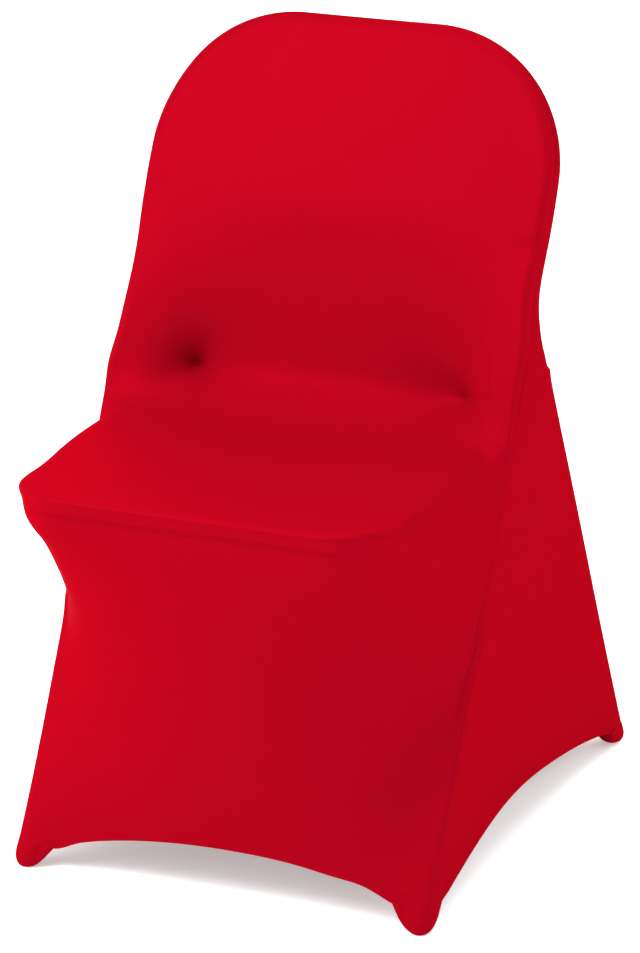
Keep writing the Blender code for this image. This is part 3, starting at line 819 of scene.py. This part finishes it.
def past(value, start):
    """0 before the start, rising straight to 1 at a fade's length past it."""
    return np.clip((value - start) / UNEVEN_FADE, 0, 1)


def uneven(points, ways, share, name):
    """The points moved along their ways by the unevenness times a share and the named waves."""
    size = bpy.context.scene.cover_shape.unevenness
    return points + ways * (size * share * bumpy(points, *UNEVEN[name]))[:, None]


def dimpled(points):
    """The points drawn in at the two dimples: a pointed throat that falls off exponentially,
    and a wide skirt that falls off as a bell curve."""
    shape = bpy.context.scene.cover_shape
    pull = unit(np.array(DIMPLE_PULL))
    moved = points.copy()
    for row in DIMPLES:
        middle = np.array([row["x"], DIMPLE_Y, row["z"]])
        apart = points - middle
        near = np.exp(-((apart @ pull / DIMPLE_REACH) ** 2))
        away = np.linalg.norm(apart - (apart @ pull)[:, None] * pull, axis=1)
        throat = row["throat"] * np.exp(-away / THROAT_WIDTH)
        skirt = row["skirt"] * np.exp(-((away / SKIRT_WIDTH) ** 2))
        moved += shape.dimple_depth * (near * (throat + skirt))[:, None] * pull
    return moved


def long_piece(name, points, faces, cloth, rows):
    """The front's or the back's cloth, uneven above its hem and crisp where it folds in at
    its seam."""
    share = past(points[:, 2], EVEN_HEM_Z)
    points = uneven(points, point_normals(points, faces), share, name)
    folds = last_but_one(len(points), rows)
    finish = knit(f"red_knit_{name}")
    return cloth_piece(f"{name}_cloth", points, faces, cloth, finish, folds)


def front_panel():
    """Front of the back, seat and apron in one cloth."""
    net, rows = front_net()
    where = over_top(rows)
    more = (0, len(where) - len(rows))
    leave, seam = (np.pad(along_rows(key), more, mode="edge") for key in ("leave", "seam"))
    bands = [
        wrapped(hoop(where), leave + share * (seam + SEAM_TURN - leave), groove(share))[0]
        for share in BAND_SHARES
    ]
    bands.append(wrapped(hoop(where), seam + SEAM_TURN, -ALLOWANCE)[0])
    points, faces, cloth = net_with_bands(net, where, bands, flip=False)
    points = dimpled(swollen(points))
    piece = long_piece("front", points, faces, cloth, len(where))
    dress(piece, "front_panel")


def over_top(where):
    """Hoop values of a panel's rows, followed by those of its top row's columns to the middle."""
    last, steps = where[-1], HALF * FINE_COLUMNS
    return np.concatenate([where, last + (TOP_HOOP - last) * np.arange(1, steps + 1) / steps])


def groove(share):
    """How far a band sinks at its seam: the seam depth times a high power of the share."""
    return -bpy.context.scene.cover_shape.seam_depth * share**GROOVE_POWER


def seam_at(where):
    """Turn of the hoop's seam at hoop values, in degrees."""
    return np.interp(where, along_rows("hoop"), along_rows("seam"))


def back_net():
    """The back panel's net from the rear hem to the shoulder, and where its rows lie: heights
    on the rear legs, then hoop values from the seat joint up."""
    heights = np.linspace(HEM_Z, REAR_TOP_Z, REAR_ROWS * FINE_ROWS + 1)[:-1]
    upper = along_rows("hoop")[row_of("joint") :]
    low, _ = wrapped(rear_leg(heights), BACK_TURN)
    high, _ = wrapped(rear_of_back(upper), BACK_TURN)
    side = np.concatenate([low, high])
    columns = HALF * FINE_COLUMNS
    half = np.zeros((len(side), columns + 1, 3))
    held = edges_of(half)
    half[:, -1] = side
    share = np.linspace(0, 1, columns + 1)
    reach = np.clip(share * side[0, 0] / (REAR_FOOT_X - LOBE), 0, 1)
    half[0] = vectors(side[0, 0] * share, side[0, 1], arch(reach, REAR_ARCH))
    half[-1], _ = wrapped(hoop(TOP_HOOP + (upper[-1] - TOP_HOOP) * share), BACK_TURN)
    return both_halves(softened(taut(half, held), SOFT_ROUNDS, held)), heights, upper


def wedge(where, share):
    """Cloth between the line behind the uprights and the hoop's seam, at a share of the way:
    the mean of both tubes' arcs, weighted by the share."""
    share = np.broadcast_to(share, len(where))
    turn = SIDE_TURN + share * (seam_at(where) - SEAM_TURN - SIDE_TURN)
    rear, _ = wrapped(rear_of_back(where), turn)
    front, _ = wrapped(hoop(where), turn)
    return rear + share[:, None] * (front - rear)


def back_panel():
    """Back of the cover, with a narrow wedge that reaches forward to the seat joint."""
    net, heights, upper = back_net()
    where, legs = over_top(upper), rear_leg(heights)
    bands = []
    for share in BAND_SHARES:
        turn = BACK_TURN + share * (REAR_SEAM_TURN - BACK_TURN)
        low, _ = wrapped(legs, turn - SEAM_TURN * (share == 1), groove(share))
        high, _ = wrapped(rear_of_back(where), turn)
        bands.append(np.concatenate([low, high]))
    hoops = np.concatenate([np.ones(len(heights)), where])
    points, faces, cloth = net_with_bands(net, hoops, bands, flip=True)
    points, faces, cloth = add_wedges(points, faces, cloth, where, len(heights))
    points = swollen(points)
    piece = long_piece("back", points, faces, cloth, len(where))
    dress(piece, "back_panel")


def add_wedges(points, faces, cloth, where, legs):
    """More bands above the rear legs, out to the seam with the front panel."""
    start = len(points) - (2 * (legs + len(where)) - 1)
    inner = start + legs + np.arange(2 * len(where) - 1)
    way = np.where(np.arange(len(inner)) < len(where) - 1, 1.0, -1.0)
    side_turns = np.linspace(REAR_SEAM_TURN, SIDE_TURN, WEDGE_TURNS + 1)[1:]
    bands = [wrapped(rear_of_back(where), turn)[0] for turn in side_turns]
    _, outward = wrapped(hoop(where), seam_at(where) - SEAM_TURN)
    shares = np.concatenate([np.arange(1, WEDGE_STEPS) / WEDGE_STEPS, WEDGE_LAST])
    bands += [wedge(where, share) + outward * groove(share) for share in shares]
    bands.append(wedge(where, 1.0) - outward * ALLOWANCE)
    way = np.stack([way, 0 * way], axis=1)
    return with_bands((points, faces, cloth), inner, bands, way, flip=True)


# Side panels


def side_net():
    """The right gusset's net: wrapped on the front tube, taut between the tubes, wrapped on
    the rear leg, with an arched hem and a straight top seam."""
    where = along_rows("hoop")[: row_of("joint") + 1]
    share = (where - where[0]) / (where[-1] - where[0])
    front, rear = hoop(where), rear_leg(HEM_Z + share * (REAR_TOP_Z - HEM_Z))
    seam = along_rows("seam")[: len(where)] - SEAM_TURN
    net = np.zeros((len(where), SIDE_COLUMNS + 1, 3))
    held = np.zeros(net.shape[:2], bool)
    net[:, 0], _ = wrapped(front, seam, -ALLOWANCE)
    for column in range(1, FRONT_WRAP + 1):
        part = ((column - 1) / (FRONT_WRAP - 1)) ** FRONT_WRAP_EASE
        net[:, column], _ = wrapped(front, seam + part * (SIDE_LEAVE - seam), groove(1 - part))
    for step in range(REAR_WRAP):
        part = step / (REAR_WRAP - 1)
        turn = SIDE_TURN + part * (REAR_SEAM_TURN + SEAM_TURN - SIDE_TURN)
        net[:, FRONT_WRAP + SPAN + step], _ = wrapped(rear, turn, groove(part))
    net[:, -1], _ = wrapped(rear, REAR_SEAM_TURN + SEAM_TURN, -ALLOWANCE)
    held[:, : FRONT_WRAP + 1] = True
    held[:, FRONT_WRAP + SPAN :] = True
    a, b = FRONT_WRAP, FRONT_WRAP + SPAN
    share = np.linspace(0, 1, SPAN + 1)[1:-1, None]
    net[:, a + 1 : b] = net[:, a : a + 1] + share * (net[:, b : b + 1] - net[:, a : a + 1])
    front_end = net[0, a, 1] + FRONT_SIDE_LOBE
    rear_end = net[0, b, 1] - LOBE
    middle, reach = (front_end + rear_end) / 2, (rear_end - front_end) / 2
    net[0, a + 1 : b, 2] = arch(np.abs(net[0, a + 1 : b, 1] - middle) / reach, SIDE_ARCH)
    moves = np.linalg.norm(np.diff(net[-1, : b + 1], axis=0), axis=1)
    moves[a:] = np.linalg.norm(net[-1, b] - net[-1, a]) / SPAN
    run = np.concatenate([[0.0], np.cumsum(moves)])
    net[-1, : b + 1] = wedge(np.ones(b + 1), 1 - run / run[-1])
    held[[0, -1]] = True
    net = pulled(net, held, SIDE_ROUNDS, mirror=False)
    net = softened(net, SIDE_SOFT_ROUNDS, held, mirror=False)
    net[-1, :, 2] -= SEAM_GAP
    return net


def side_panels():
    """The two gussets between the front and rear legs."""
    net = side_net()
    rows, columns = net.shape[:2]
    faces = quads(np.arange(rows * columns).reshape(rows, columns))
    u, v = cloth_lengths(net)
    cloth = np.stack([u, v], axis=-1).reshape(-1, 2)
    points = net.reshape(-1, 3)
    finish = knit("red_knit_side")
    height, edge = points[:, 2], np.minimum(u, u[:, -1:] - u).reshape(-1)
    share = past(height, SIDE_EVEN_HEM_Z) * past(-height, -SIDE_EVEN_TOP_Z)
    points = uneven(points, np.array([1.0, 0.0, 0.0]), share * past(edge, SIDE_EVEN_EDGE), "side")
    for name, node, shape, order in (
        ("side_cloth_right", "side_panel_right", swollen(points), faces),
        ("side_cloth_left", "side_panel_left", swollen(mirrored(points)), faces[:, ::-1]),
    ):
        dress(cloth_piece(name, shape, order, cloth, finish), node)


# Foot pockets


def pocket_net(place, foot, lean, back):
    """Rings of points on a foot pocket, from an edge tucked in above the rim down to the sole.

    A ring's reach is the foot's radius, which follows a quarter ellipse below the dome height,
    plus the rim's extra reach by turn, which fades as a power of the height.
    """
    turns = np.linspace(0, 2 * math.pi, POCKET_SIDES, endpoint=False)
    degrees = (np.degrees(turns) + 90) % 360 - 90
    order = [row["turn"] for row in POCKET_RIM]
    reach = smooth_through(order, [row[place] for row in POCKET_RIM], degrees)
    height = POCKET_RIM_Z * (1 - np.sin(np.linspace(0, math.pi / 2, POCKET_RINGS)))
    flat = np.zeros(len(SOLE_SHARES) + 1)
    height = np.concatenate([height[:1] + POCKET_TUCK, height[:-1], flat])[:, None]
    dome = np.clip(1 - height / POCKET_DOME_Z, 0, 1)
    round_reach = POCKET_FLAT + (POCKET_RADIUS - POCKET_FLAT) * np.sqrt(1 - dome**2)
    fade = np.minimum(height / POCKET_RIM_Z, 1) ** POCKET_FLARE
    reach = round_reach + (reach - POCKET_RADIUS) * fade
    reach[0] -= POCKET_TUCK
    reach[-len(SOLE_SHARES) :] = np.array(SOLE_SHARES)[:, None] * POCKET_FLAT
    x = foot[0] + reach * np.cos(turns)
    return vectors(x, foot[1] + lean * height - back * reach * np.sin(turns), height)


def foot_pockets():
    """Four closed pockets, each a cup with its sole's middle points made one."""
    rear_lean = (REAR_TOP_Y - REAR_FOOT_Y) / REAR_TOP_Z
    finish = knit("red_knit_pocket")
    for place, foot, lean, back in (
        ("front", (FOOT_X, FRONT_FOOT_Y), LEG_SLOPE, 1),
        ("rear", (REAR_FOOT_X, REAR_FOOT_Y), rear_lean, -1),
    ):
        rings = pocket_net(place, foot, lean, back)
        for hand, side in (("right", 1), ("left", -1)):
            name = f"pocket_{place}_{hand}"
            pocket(name, f"foot_{name}", rings, side, back, finish)


def pocket(name, node, rings, side, back, finish):
    """One pocket's closed shell, its inside shrunk by the thickness of a doubled-up cloth."""
    thick = bpy.context.scene.cover_shape.thickness * POCKET_THICKER
    rows = len(rings) - 1
    shape = mirrored(rings) if side < 0 else rings
    index = np.arange(rows * POCKET_SIDES).reshape(rows, POCKET_SIDES)
    index = np.concatenate([index, index[:, :1]], axis=1)
    index = index[:, ::-1] if side * back < 0 else index
    faces = quads(index)
    points = swollen(np.concatenate([shape[:-1].reshape(-1, 3), shape[-1, :1]]))
    normals = np.concatenate([point_normals(points[:-1], faces), [[0.0, 0.0, -1.0]]])
    count, rim, low = len(points), index[0], index[-1]
    wall = np.stack([rim[1:], rim[:-1], rim[:-1] + count, rim[1:] + count], axis=1)
    fan = np.stack([low[:-1], low[1:], np.full(POCKET_SIDES, count - 1)], axis=1)
    groups = [
        np.concatenate([faces, faces[:, ::-1] + count, wall]),
        np.concatenate([fan, fan[:, ::-1] + count]),
    ]
    along = np.tile(np.arange(POCKET_SIDES) / POCKET_SIDES * POCKET_GIRTH, rows)
    down = np.repeat(np.arange(rows) * POCKET_RING_STEP, POCKET_SIDES)
    cloth = np.concatenate([np.stack([along, down], axis=1), [[0.0, rows * POCKET_RING_STEP]]])
    body = np.concatenate([points, points - thick * normals])
    crisp = index[:2].ravel()
    crisp = np.concatenate([crisp, crisp + count])
    piece = make_mesh(name, body, groups, np.concatenate([cloth, cloth]), finish, crisp)
    dress(piece, node)


# Stitches


def at_lengths(run, rows, at):
    """Rows of three values at lengths along a line, straight between its points."""
    return np.stack([np.interp(at, run, rows[:, k]) for k in range(3)], axis=1)


def stitches(name, lines, finish):
    """Short threads along lines of points with normals, a bead for each.

    A bead has four rings along the line, the outer ones small; beads follow each other at
    equal lengths along the line.
    """
    ring = np.arange(BEAD_SIDES) * 2 * math.pi / BEAD_SIDES
    round_up, round_side = np.sin(ring)[:, None], np.cos(ring)[:, None]
    along = (STITCH_LENGTH * BEAD_ALONG)[:, None, None]
    wide = (STITCH_THICK * BEAD_WIDE)[:, None, None]
    size = len(BEAD_ALONG) * BEAD_SIDES
    base = np.arange(size).reshape(-1, BEAD_SIDES)
    around = quads(np.concatenate([base, base[:, :1]], axis=1))
    one = np.concatenate([around, BEAD_ENDS])[:, ::-1]
    beads = []
    for points, normals in lines:
        points = swollen(points)
        steps = np.linalg.norm(np.diff(points, axis=0), axis=1)
        run = np.concatenate([[0.0], np.cumsum(steps)])
        at = np.arange(STITCH_EVERY, run[-1] - STITCH_EVERY, STITCH_EVERY)
        place = at_lengths(run, points, at)
        way = unit(at_lengths(run, points, at + STITCH_EVERY / 4) - place)
        side = unit(np.cross(way, unit(at_lengths(run, normals, at))))
        place, way, side, up = (
            rows[:, None, None] for rows in (place, way, side, np.cross(side, way))
        )
        beads.append(place + way * along + up * (wide * round_up) + side * (wide * round_side))
    points = np.concatenate(beads).reshape(-1, 3)
    faces = (one + size * np.arange(len(points) // size)[:, None, None]).reshape(-1, 4)
    dress(make_mesh(name, points, [faces], points[:, [0, 2]], finish), None)


def seam_lines():
    """Lines just beside the long seams on the outside, sunk a little, for both hands: the
    hoop's seam and the rear legs' seam."""
    count = STITCH_SAMPLES
    low = np.linspace(STITCH_HOOP, 3.0, count["hoop"])
    where = np.concatenate([low, np.linspace(3.0, TOP_HOOP, count["top"])])
    half = wrapped(hoop(where), seam_at(where) + STITCH_TURN, STITCH_LIFT)
    legs = rear_leg(np.linspace(*STITCH_LEG_Z, count["leg"]))
    points, normals = wrapped(legs, REAR_SEAM_TURN + STITCH_TURN, STITCH_LIFT)
    over = tuple(whole_band(part) for part in half)
    return [over, (points, normals), (mirrored(points), mirrored(normals))]


# Finish


def socketed_group(name, inputs, outputs):
    """A new shader node group, its input node and its output node."""
    group = bpy.data.node_groups.new(name, "ShaderNodeTree")
    for label, kind, value in inputs:
        socket = group.interface.new_socket(label, in_out="INPUT", socket_type=kind)
        if value is not None:
            socket.default_value = value
    for label, kind in outputs:
        group.interface.new_socket(label, in_out="OUTPUT", socket_type=kind)
    return group, group.nodes.new("NodeGroupInput"), group.nodes.new("NodeGroupOutput")


def placed(tree, kind, links=(), **values):
    """A node of this kind with its settings; links are (input name or number, output socket)."""
    node = tree.nodes.new(kind)
    for key, value in values.items():
        setattr(node, key, value)
    for key, source in links:
        if isinstance(source, (int, float, tuple)):
            node.inputs[key].default_value = source
        else:
            tree.links.new(source, node.inputs[key])
    return node


def maths(tree, operation, first, second=0.0):
    """The result of a maths node on two numbers or sockets."""
    return placed(tree, "ShaderNodeMath", ((0, first), (1, second)), operation=operation).outputs[0]


def knit_group():
    """Stretch knit: rows of loops across the cloth's own coordinates, fine fuzz, and slow
    changes of tone. It puts out colour, roughness and height.

    A wale is the sine of X. A loop is the sine of Y, pushed on by the wale's size. The height
    is half their sum plus the fuzz, and the colour is scaled by 1 plus the slow change plus
    painted shade: a little darker where the loops' height sinks, lighter on their crowns.
    """
    if "stretch_knit" in bpy.data.node_groups:
        return bpy.data.node_groups["stretch_knit"]
    number = "NodeSocketFloat"
    inputs = (
        ("Cloth", "NodeSocketVector", None),
        ("Colour", "NodeSocketColor", (0.6, 0.0, 0.02, 1.0)),
        ("Loops Per Metre", number, 1100.0),
        ("Tone Change", number, 0.06),
        ("Roughness", number, 0.5),
    )
    outputs = (("Colour", "NodeSocketColor"), ("Roughness", number), ("Height", number))
    group, start, end = socketed_group("stretch_knit", inputs, outputs)
    cloth, rate = start.outputs["Cloth"], start.outputs["Loops Per Metre"]

    def times(first, second):
        """The first times the second."""
        return maths(group, "MULTIPLY", first, second)

    def plus(first, second):
        """The first plus the second."""
        return maths(group, "ADD", first, second)

    def noise(scale, detail):
        """Noise from 0 to 1 on the cloth's coordinates."""
        links = (("Vector", cloth), ("Scale", scale), ("Detail", detail))
        return placed(group, "ShaderNodeTexNoise", links).outputs["Fac"]

    parts = placed(group, "ShaderNodeSeparateXYZ", ((0, cloth),))
    wale = maths(group, "SINE", times(parts.outputs["X"], times(rate, 2 * math.pi)))
    lean = times(maths(group, "ABSOLUTE", wale), LOOP_LEAN)
    rise = times(parts.outputs["Y"], times(rate, 2 * math.pi * LOOP_RISE))
    loop = maths(group, "SINE", plus(rise, lean))
    height = plus(times(wale, 0.5), times(loop, 0.5))
    slow = maths(group, "SUBTRACT", noise(*SLOW_NOISE), 0.5)
    tone = plus(times(times(slow, start.outputs["Tone Change"]), 2.0), 1.0)
    # Painted shade: the colour darkens a little where the knit's relief sinks and lightens on its
    # crowns.
    shade = plus(tone, times(height, LOOP_PAINTED_SHADE))
    links = ((0, start.outputs["Colour"]), ("Scale", shade))
    scaled = placed(group, "ShaderNodeVectorMath", links, operation="SCALE")
    results = {
        "Colour": scaled.outputs[0],
        "Roughness": plus(start.outputs["Roughness"], times(slow, ROUGHNESS_CHANGE)),
        "Height": plus(height, times(noise(*FUZZ_NOISE), FUZZ_HEIGHT)),
    }
    for key, socket in results.items():
        group.links.new(socket, end.inputs[key])
    return group


def knit(name, lift=1.0):
    """Red stretch knit with a soft satin sheen, on the cloth's own UV map; its colour is times
    the lift, which above 1 is painted light: the seam threads are made lighter than the cloth."""
    finish = bpy.context.scene.cover_finish
    material = bpy.data.materials.new(name)
    material.use_nodes = True
    tree = material.node_tree
    shader = tree.nodes["Principled BSDF"]
    cloth = placed(tree, "ShaderNodeUVMap", uv_map="cloth")
    group = placed(tree, "ShaderNodeGroup", node_tree=knit_group())
    tree.links.new(cloth.outputs["UV"], group.inputs["Cloth"])
    group.inputs["Colour"].default_value = (*(lift * part for part in finish.colour), 1.0)
    group.inputs["Loops Per Metre"].default_value = 1.0 / finish.loop_width
    group.inputs["Tone Change"].default_value = finish.tone_change
    group.inputs["Roughness"].default_value = finish.roughness
    bump = placed(tree, "ShaderNodeBump", (("Height", group.outputs["Height"]),))
    bump.inputs["Strength"].default_value = BUMP_STRENGTH
    bump.inputs["Distance"].default_value = BUMP_DISTANCE
    tree.links.new(group.outputs["Colour"], shader.inputs["Base Color"])
    tree.links.new(group.outputs["Roughness"], shader.inputs["Roughness"])
    tree.links.new(bump.outputs["Normal"], shader.inputs["Normal"])
    shader.inputs["Metallic"].default_value = finish.satin
    shader.inputs["Specular IOR Level"].default_value = 0.0
    shader.inputs["Specular Tint"].default_value = SATIN_TINT
    return material


# Stage


def way_out(turn, rise):
    """The way from the cover out to a place at degrees round it from its front and above it."""
    turn, rise = math.radians(turn), math.radians(rise)
    level = math.cos(rise)
    return Vector((math.sin(turn) * level, -math.cos(turn) * level, math.sin(rise)))


def camera():
    """The photograph's camera, turned round the aim by its azimuth, height and roll."""
    back, roll = way_out(CAMERA_AZIMUTH, CAMERA_HEIGHT), math.radians(CAMERA_ROLL)
    level = (-back).cross(Vector((0, 0, 1))).normalized()
    upright = level.cross(-back)
    right = level * math.cos(roll) + upright * math.sin(roll)
    up = upright * math.cos(roll) - level * math.sin(roll)
    data = bpy.data.cameras.new("photo_camera")
    data.sensor_fit = "AUTO"
    data.sensor_width = SENSOR_MM
    data.lens = CAMERA_FOCAL * SENSOR_MM / IMAGE_SIZE[1]
    data.shift_x = (IMAGE_SIZE[0] / 2 - IMAGE_MIDDLE[0]) / IMAGE_SIZE[1]
    data.shift_y = (IMAGE_MIDDLE[1] - IMAGE_SIZE[1] / 2) / IMAGE_SIZE[1]
    item = bpy.data.objects.new("photo_camera", data)
    place = CAMERA_AIM + back * CAMERA_FAR
    item.matrix_world = Matrix.Translation(place) @ Matrix((right, up, back)).transposed().to_4x4()
    bpy.context.collection.objects.link(item)
    bpy.context.scene.camera = item


def lamp(name, kind, place):
    """A light at a place, turned to shine at the cover's middle."""
    data = bpy.data.lights.new(name, kind)
    item = bpy.data.objects.new(name, data)
    item.location = place
    item.rotation_euler = (LIGHT_AIM - place).to_track_quat("-Z", "Y").to_euler()
    bpy.context.collection.objects.link(item)
    return data


def lights(strength):
    """The far lights, each a soft sun, and the near boxes."""
    for row in FAR_LIGHTS:
        way = way_out(row["round"], row["above"])
        data = lamp(row["name"], "SUN", LIGHT_AIM + SUN_AWAY * way)
        data.angle = math.radians(row["wide"])
        data.energy = math.pi * row["share"] * strength
    for row in NEAR_LIGHTS:
        data = lamp(row["name"], "AREA", Vector(row["place"]))
        data.shape = "SQUARE"
        data.size = row["size"]
        data.energy = row["power"] * strength


def stage():
    """Pale glowing floor, even soft sky, soft lights all round, and the camera."""
    look = bpy.context.scene.cover_stage
    mesh = bpy.data.meshes.new("floor")
    far = FLOOR_HALF
    corners = [(-far, -far, 0.0), (far, -far, 0.0), (far, far, 0.0), (-far, far, 0.0)]
    mesh.from_pydata(corners, [], [(0, 1, 2, 3)])
    material = bpy.data.materials.new("pale_floor")
    material.use_nodes = True
    shader = material.node_tree.nodes["Principled BSDF"]
    shader.inputs["Base Color"].default_value = (*look.floor_tone, 1.0)
    shader.inputs["Roughness"].default_value = FLOOR_ROUGHNESS
    shader.inputs["Specular IOR Level"].default_value = 0.0
    shader.inputs["Emission Color"].default_value = (*look.floor_tone, 1.0)
    shader.inputs["Emission Strength"].default_value = look.floor_glow
    mesh.materials.append(material)
    floor = bpy.data.objects.new("floor", mesh)
    bpy.context.collection.objects.link(floor)

    world = bpy.context.scene.world or bpy.data.worlds.new("studio")
    bpy.context.scene.world = world
    world.use_nodes = True
    sky = world.node_tree.nodes["Background"]
    sky.inputs["Color"].default_value = (1.0, 1.0, 1.0, 1.0)
    sky.inputs["Strength"].default_value = look.sky
    lights(look.lights)
    bpy.context.scene.view_settings.view_transform = "Standard"
    bpy.context.scene.view_settings.look = "None"
    camera()


# Settings, operators and panel


def amount(name, description, default, **more):
    """A number with its name in the panel, what it says of itself and its value at first."""
    return FloatProperty(name=name, description=description, default=default, **more)


def paint(name, description, default):
    """The same for a colour."""
    return FloatVectorProperty(
        name=name, description=description, subtype="COLOR", size=3, default=default
    )


class CoverShape(bpy.types.PropertyGroup):
    thickness: amount("Cloth thickness", "Thickness of the knit", 0.0008, unit="LENGTH")
    seam_depth: amount("Seam depth", "How far a seam sinks", 0.0001, unit="LENGTH")
    unevenness: amount("Unevenness", "Slow swell of the cloth", 0.0006, unit="LENGTH")
    dimple_depth: amount("Dimples", "Depth of the two dimples, 1 as pictured", 1.0)


class CoverFinish(bpy.types.PropertyGroup):
    colour: paint("Colour", "Colour of the knit", (0.250, 0.0009, 0.0064))
    roughness: amount("Roughness", "Mean roughness of the knit", 0.40)
    satin: amount("Satin", "Share of light that the dyed fibres mirror", 0.14)
    tone_change: amount("Tone change", "Slow change of tone over the cloth", 0.03)
    loop_width: amount("Loop width", "Width of a knit loop", 0.0009, unit="LENGTH")


class CoverStage(bpy.types.PropertyGroup):
    floor_tone: paint("Floor", "Colour of the floor", (0.9, 0.9, 0.9))
    floor_glow: amount("Floor glow", "Light that the floor gives off", 0.43)
    sky: amount("Sky", "Strength of the even light from all round", 0.38)
    lights: amount("Lights", "Strength of all lamps, 1 as pictured", 1.0)


class COVER_OT_front_panel(bpy.types.Operator):
    """Make the front of the back, the seat and the apron in one cloth"""

    bl_idname = "cover.front_panel"
    bl_label = "Front panel"

    def execute(self, context):
        front_panel()
        return {"FINISHED"}


class COVER_OT_back_panel(bpy.types.Operator):
    """Make the back cloth with its two wedges"""

    bl_idname = "cover.back_panel"
    bl_label = "Back panel"

    def execute(self, context):
        back_panel()
        return {"FINISHED"}


class COVER_OT_side_panels(bpy.types.Operator):
    """Make the two gussets between the legs"""

    bl_idname = "cover.side_panels"
    bl_label = "Side panels"

    def execute(self, context):
        side_panels()
        return {"FINISHED"}


class COVER_OT_foot_pockets(bpy.types.Operator):
    """Make the four foot pockets"""

    bl_idname = "cover.foot_pockets"
    bl_label = "Foot pockets"

    def execute(self, context):
        foot_pockets()
        return {"FINISHED"}


class COVER_OT_stitches(bpy.types.Operator):
    """Make the threads beside the seams"""

    bl_idname = "cover.stitches"
    bl_label = "Seam stitches"

    def execute(self, context):
        # The threads' colour is lifted as painted light, a painted highlight that offsets their
        # shade.
        stitches("seam_stitches", seam_lines(), knit("red_thread", THREAD_PAINTED_LIGHT))
        return {"FINISHED"}


class COVER_OT_stage(bpy.types.Operator):
    """Make the floor, the lights and the camera"""

    bl_idname = "cover.stage"
    bl_label = "Stage"

    def execute(self, context):
        stage()
        return {"FINISHED"}


OPERATORS = (
    COVER_OT_front_panel,
    COVER_OT_back_panel,
    COVER_OT_side_panels,
    COVER_OT_foot_pockets,
    COVER_OT_stitches,
    COVER_OT_stage,
)


class COVER_PT_main(bpy.types.Panel):
    """Lists the cover's settings and pieces"""

    bl_idname = "COVER_PT_main"
    bl_label = "Stretch cover"
    bl_space_type = "VIEW_3D"
    bl_region_type = "UI"
    bl_category = "Cover"

    def draw(self, context):
        layout = self.layout
        for name, _ in GROUPS:
            group = getattr(context.scene, name)
            box = layout.box()
            box.label(text=name.removeprefix("cover_").title())
            for key in group.__annotations__:
                box.prop(group, key)
        for operator in OPERATORS:
            layout.operator(operator.bl_idname)


GROUPS = (("cover_shape", CoverShape), ("cover_finish", CoverFinish), ("cover_stage", CoverStage))


def register():
    """Adds the settings, the operators and the panel to Blender."""
    for name, group in GROUPS:
        bpy.utils.register_class(group)
        setattr(bpy.types.Scene, name, PointerProperty(type=group))
    for item in (*OPERATORS, COVER_PT_main):
        bpy.utils.register_class(item)


def unregister():
    """Takes them out again, last ones first."""
    for item in reversed((*OPERATORS, COVER_PT_main)):
        bpy.utils.unregister_class(item)
    for name, group in reversed(GROUPS):
        delattr(bpy.types.Scene, name)
        bpy.utils.unregister_class(group)


def main():
    """Makes the stage and every piece."""
    register()
    bpy.ops.cover.stage()
    bpy.ops.cover.front_panel()
    bpy.ops.cover.back_panel()
    bpy.ops.cover.side_panels()
    bpy.ops.cover.foot_pockets()
    bpy.ops.cover.stitches()


if __name__ == "__main__":
    main()
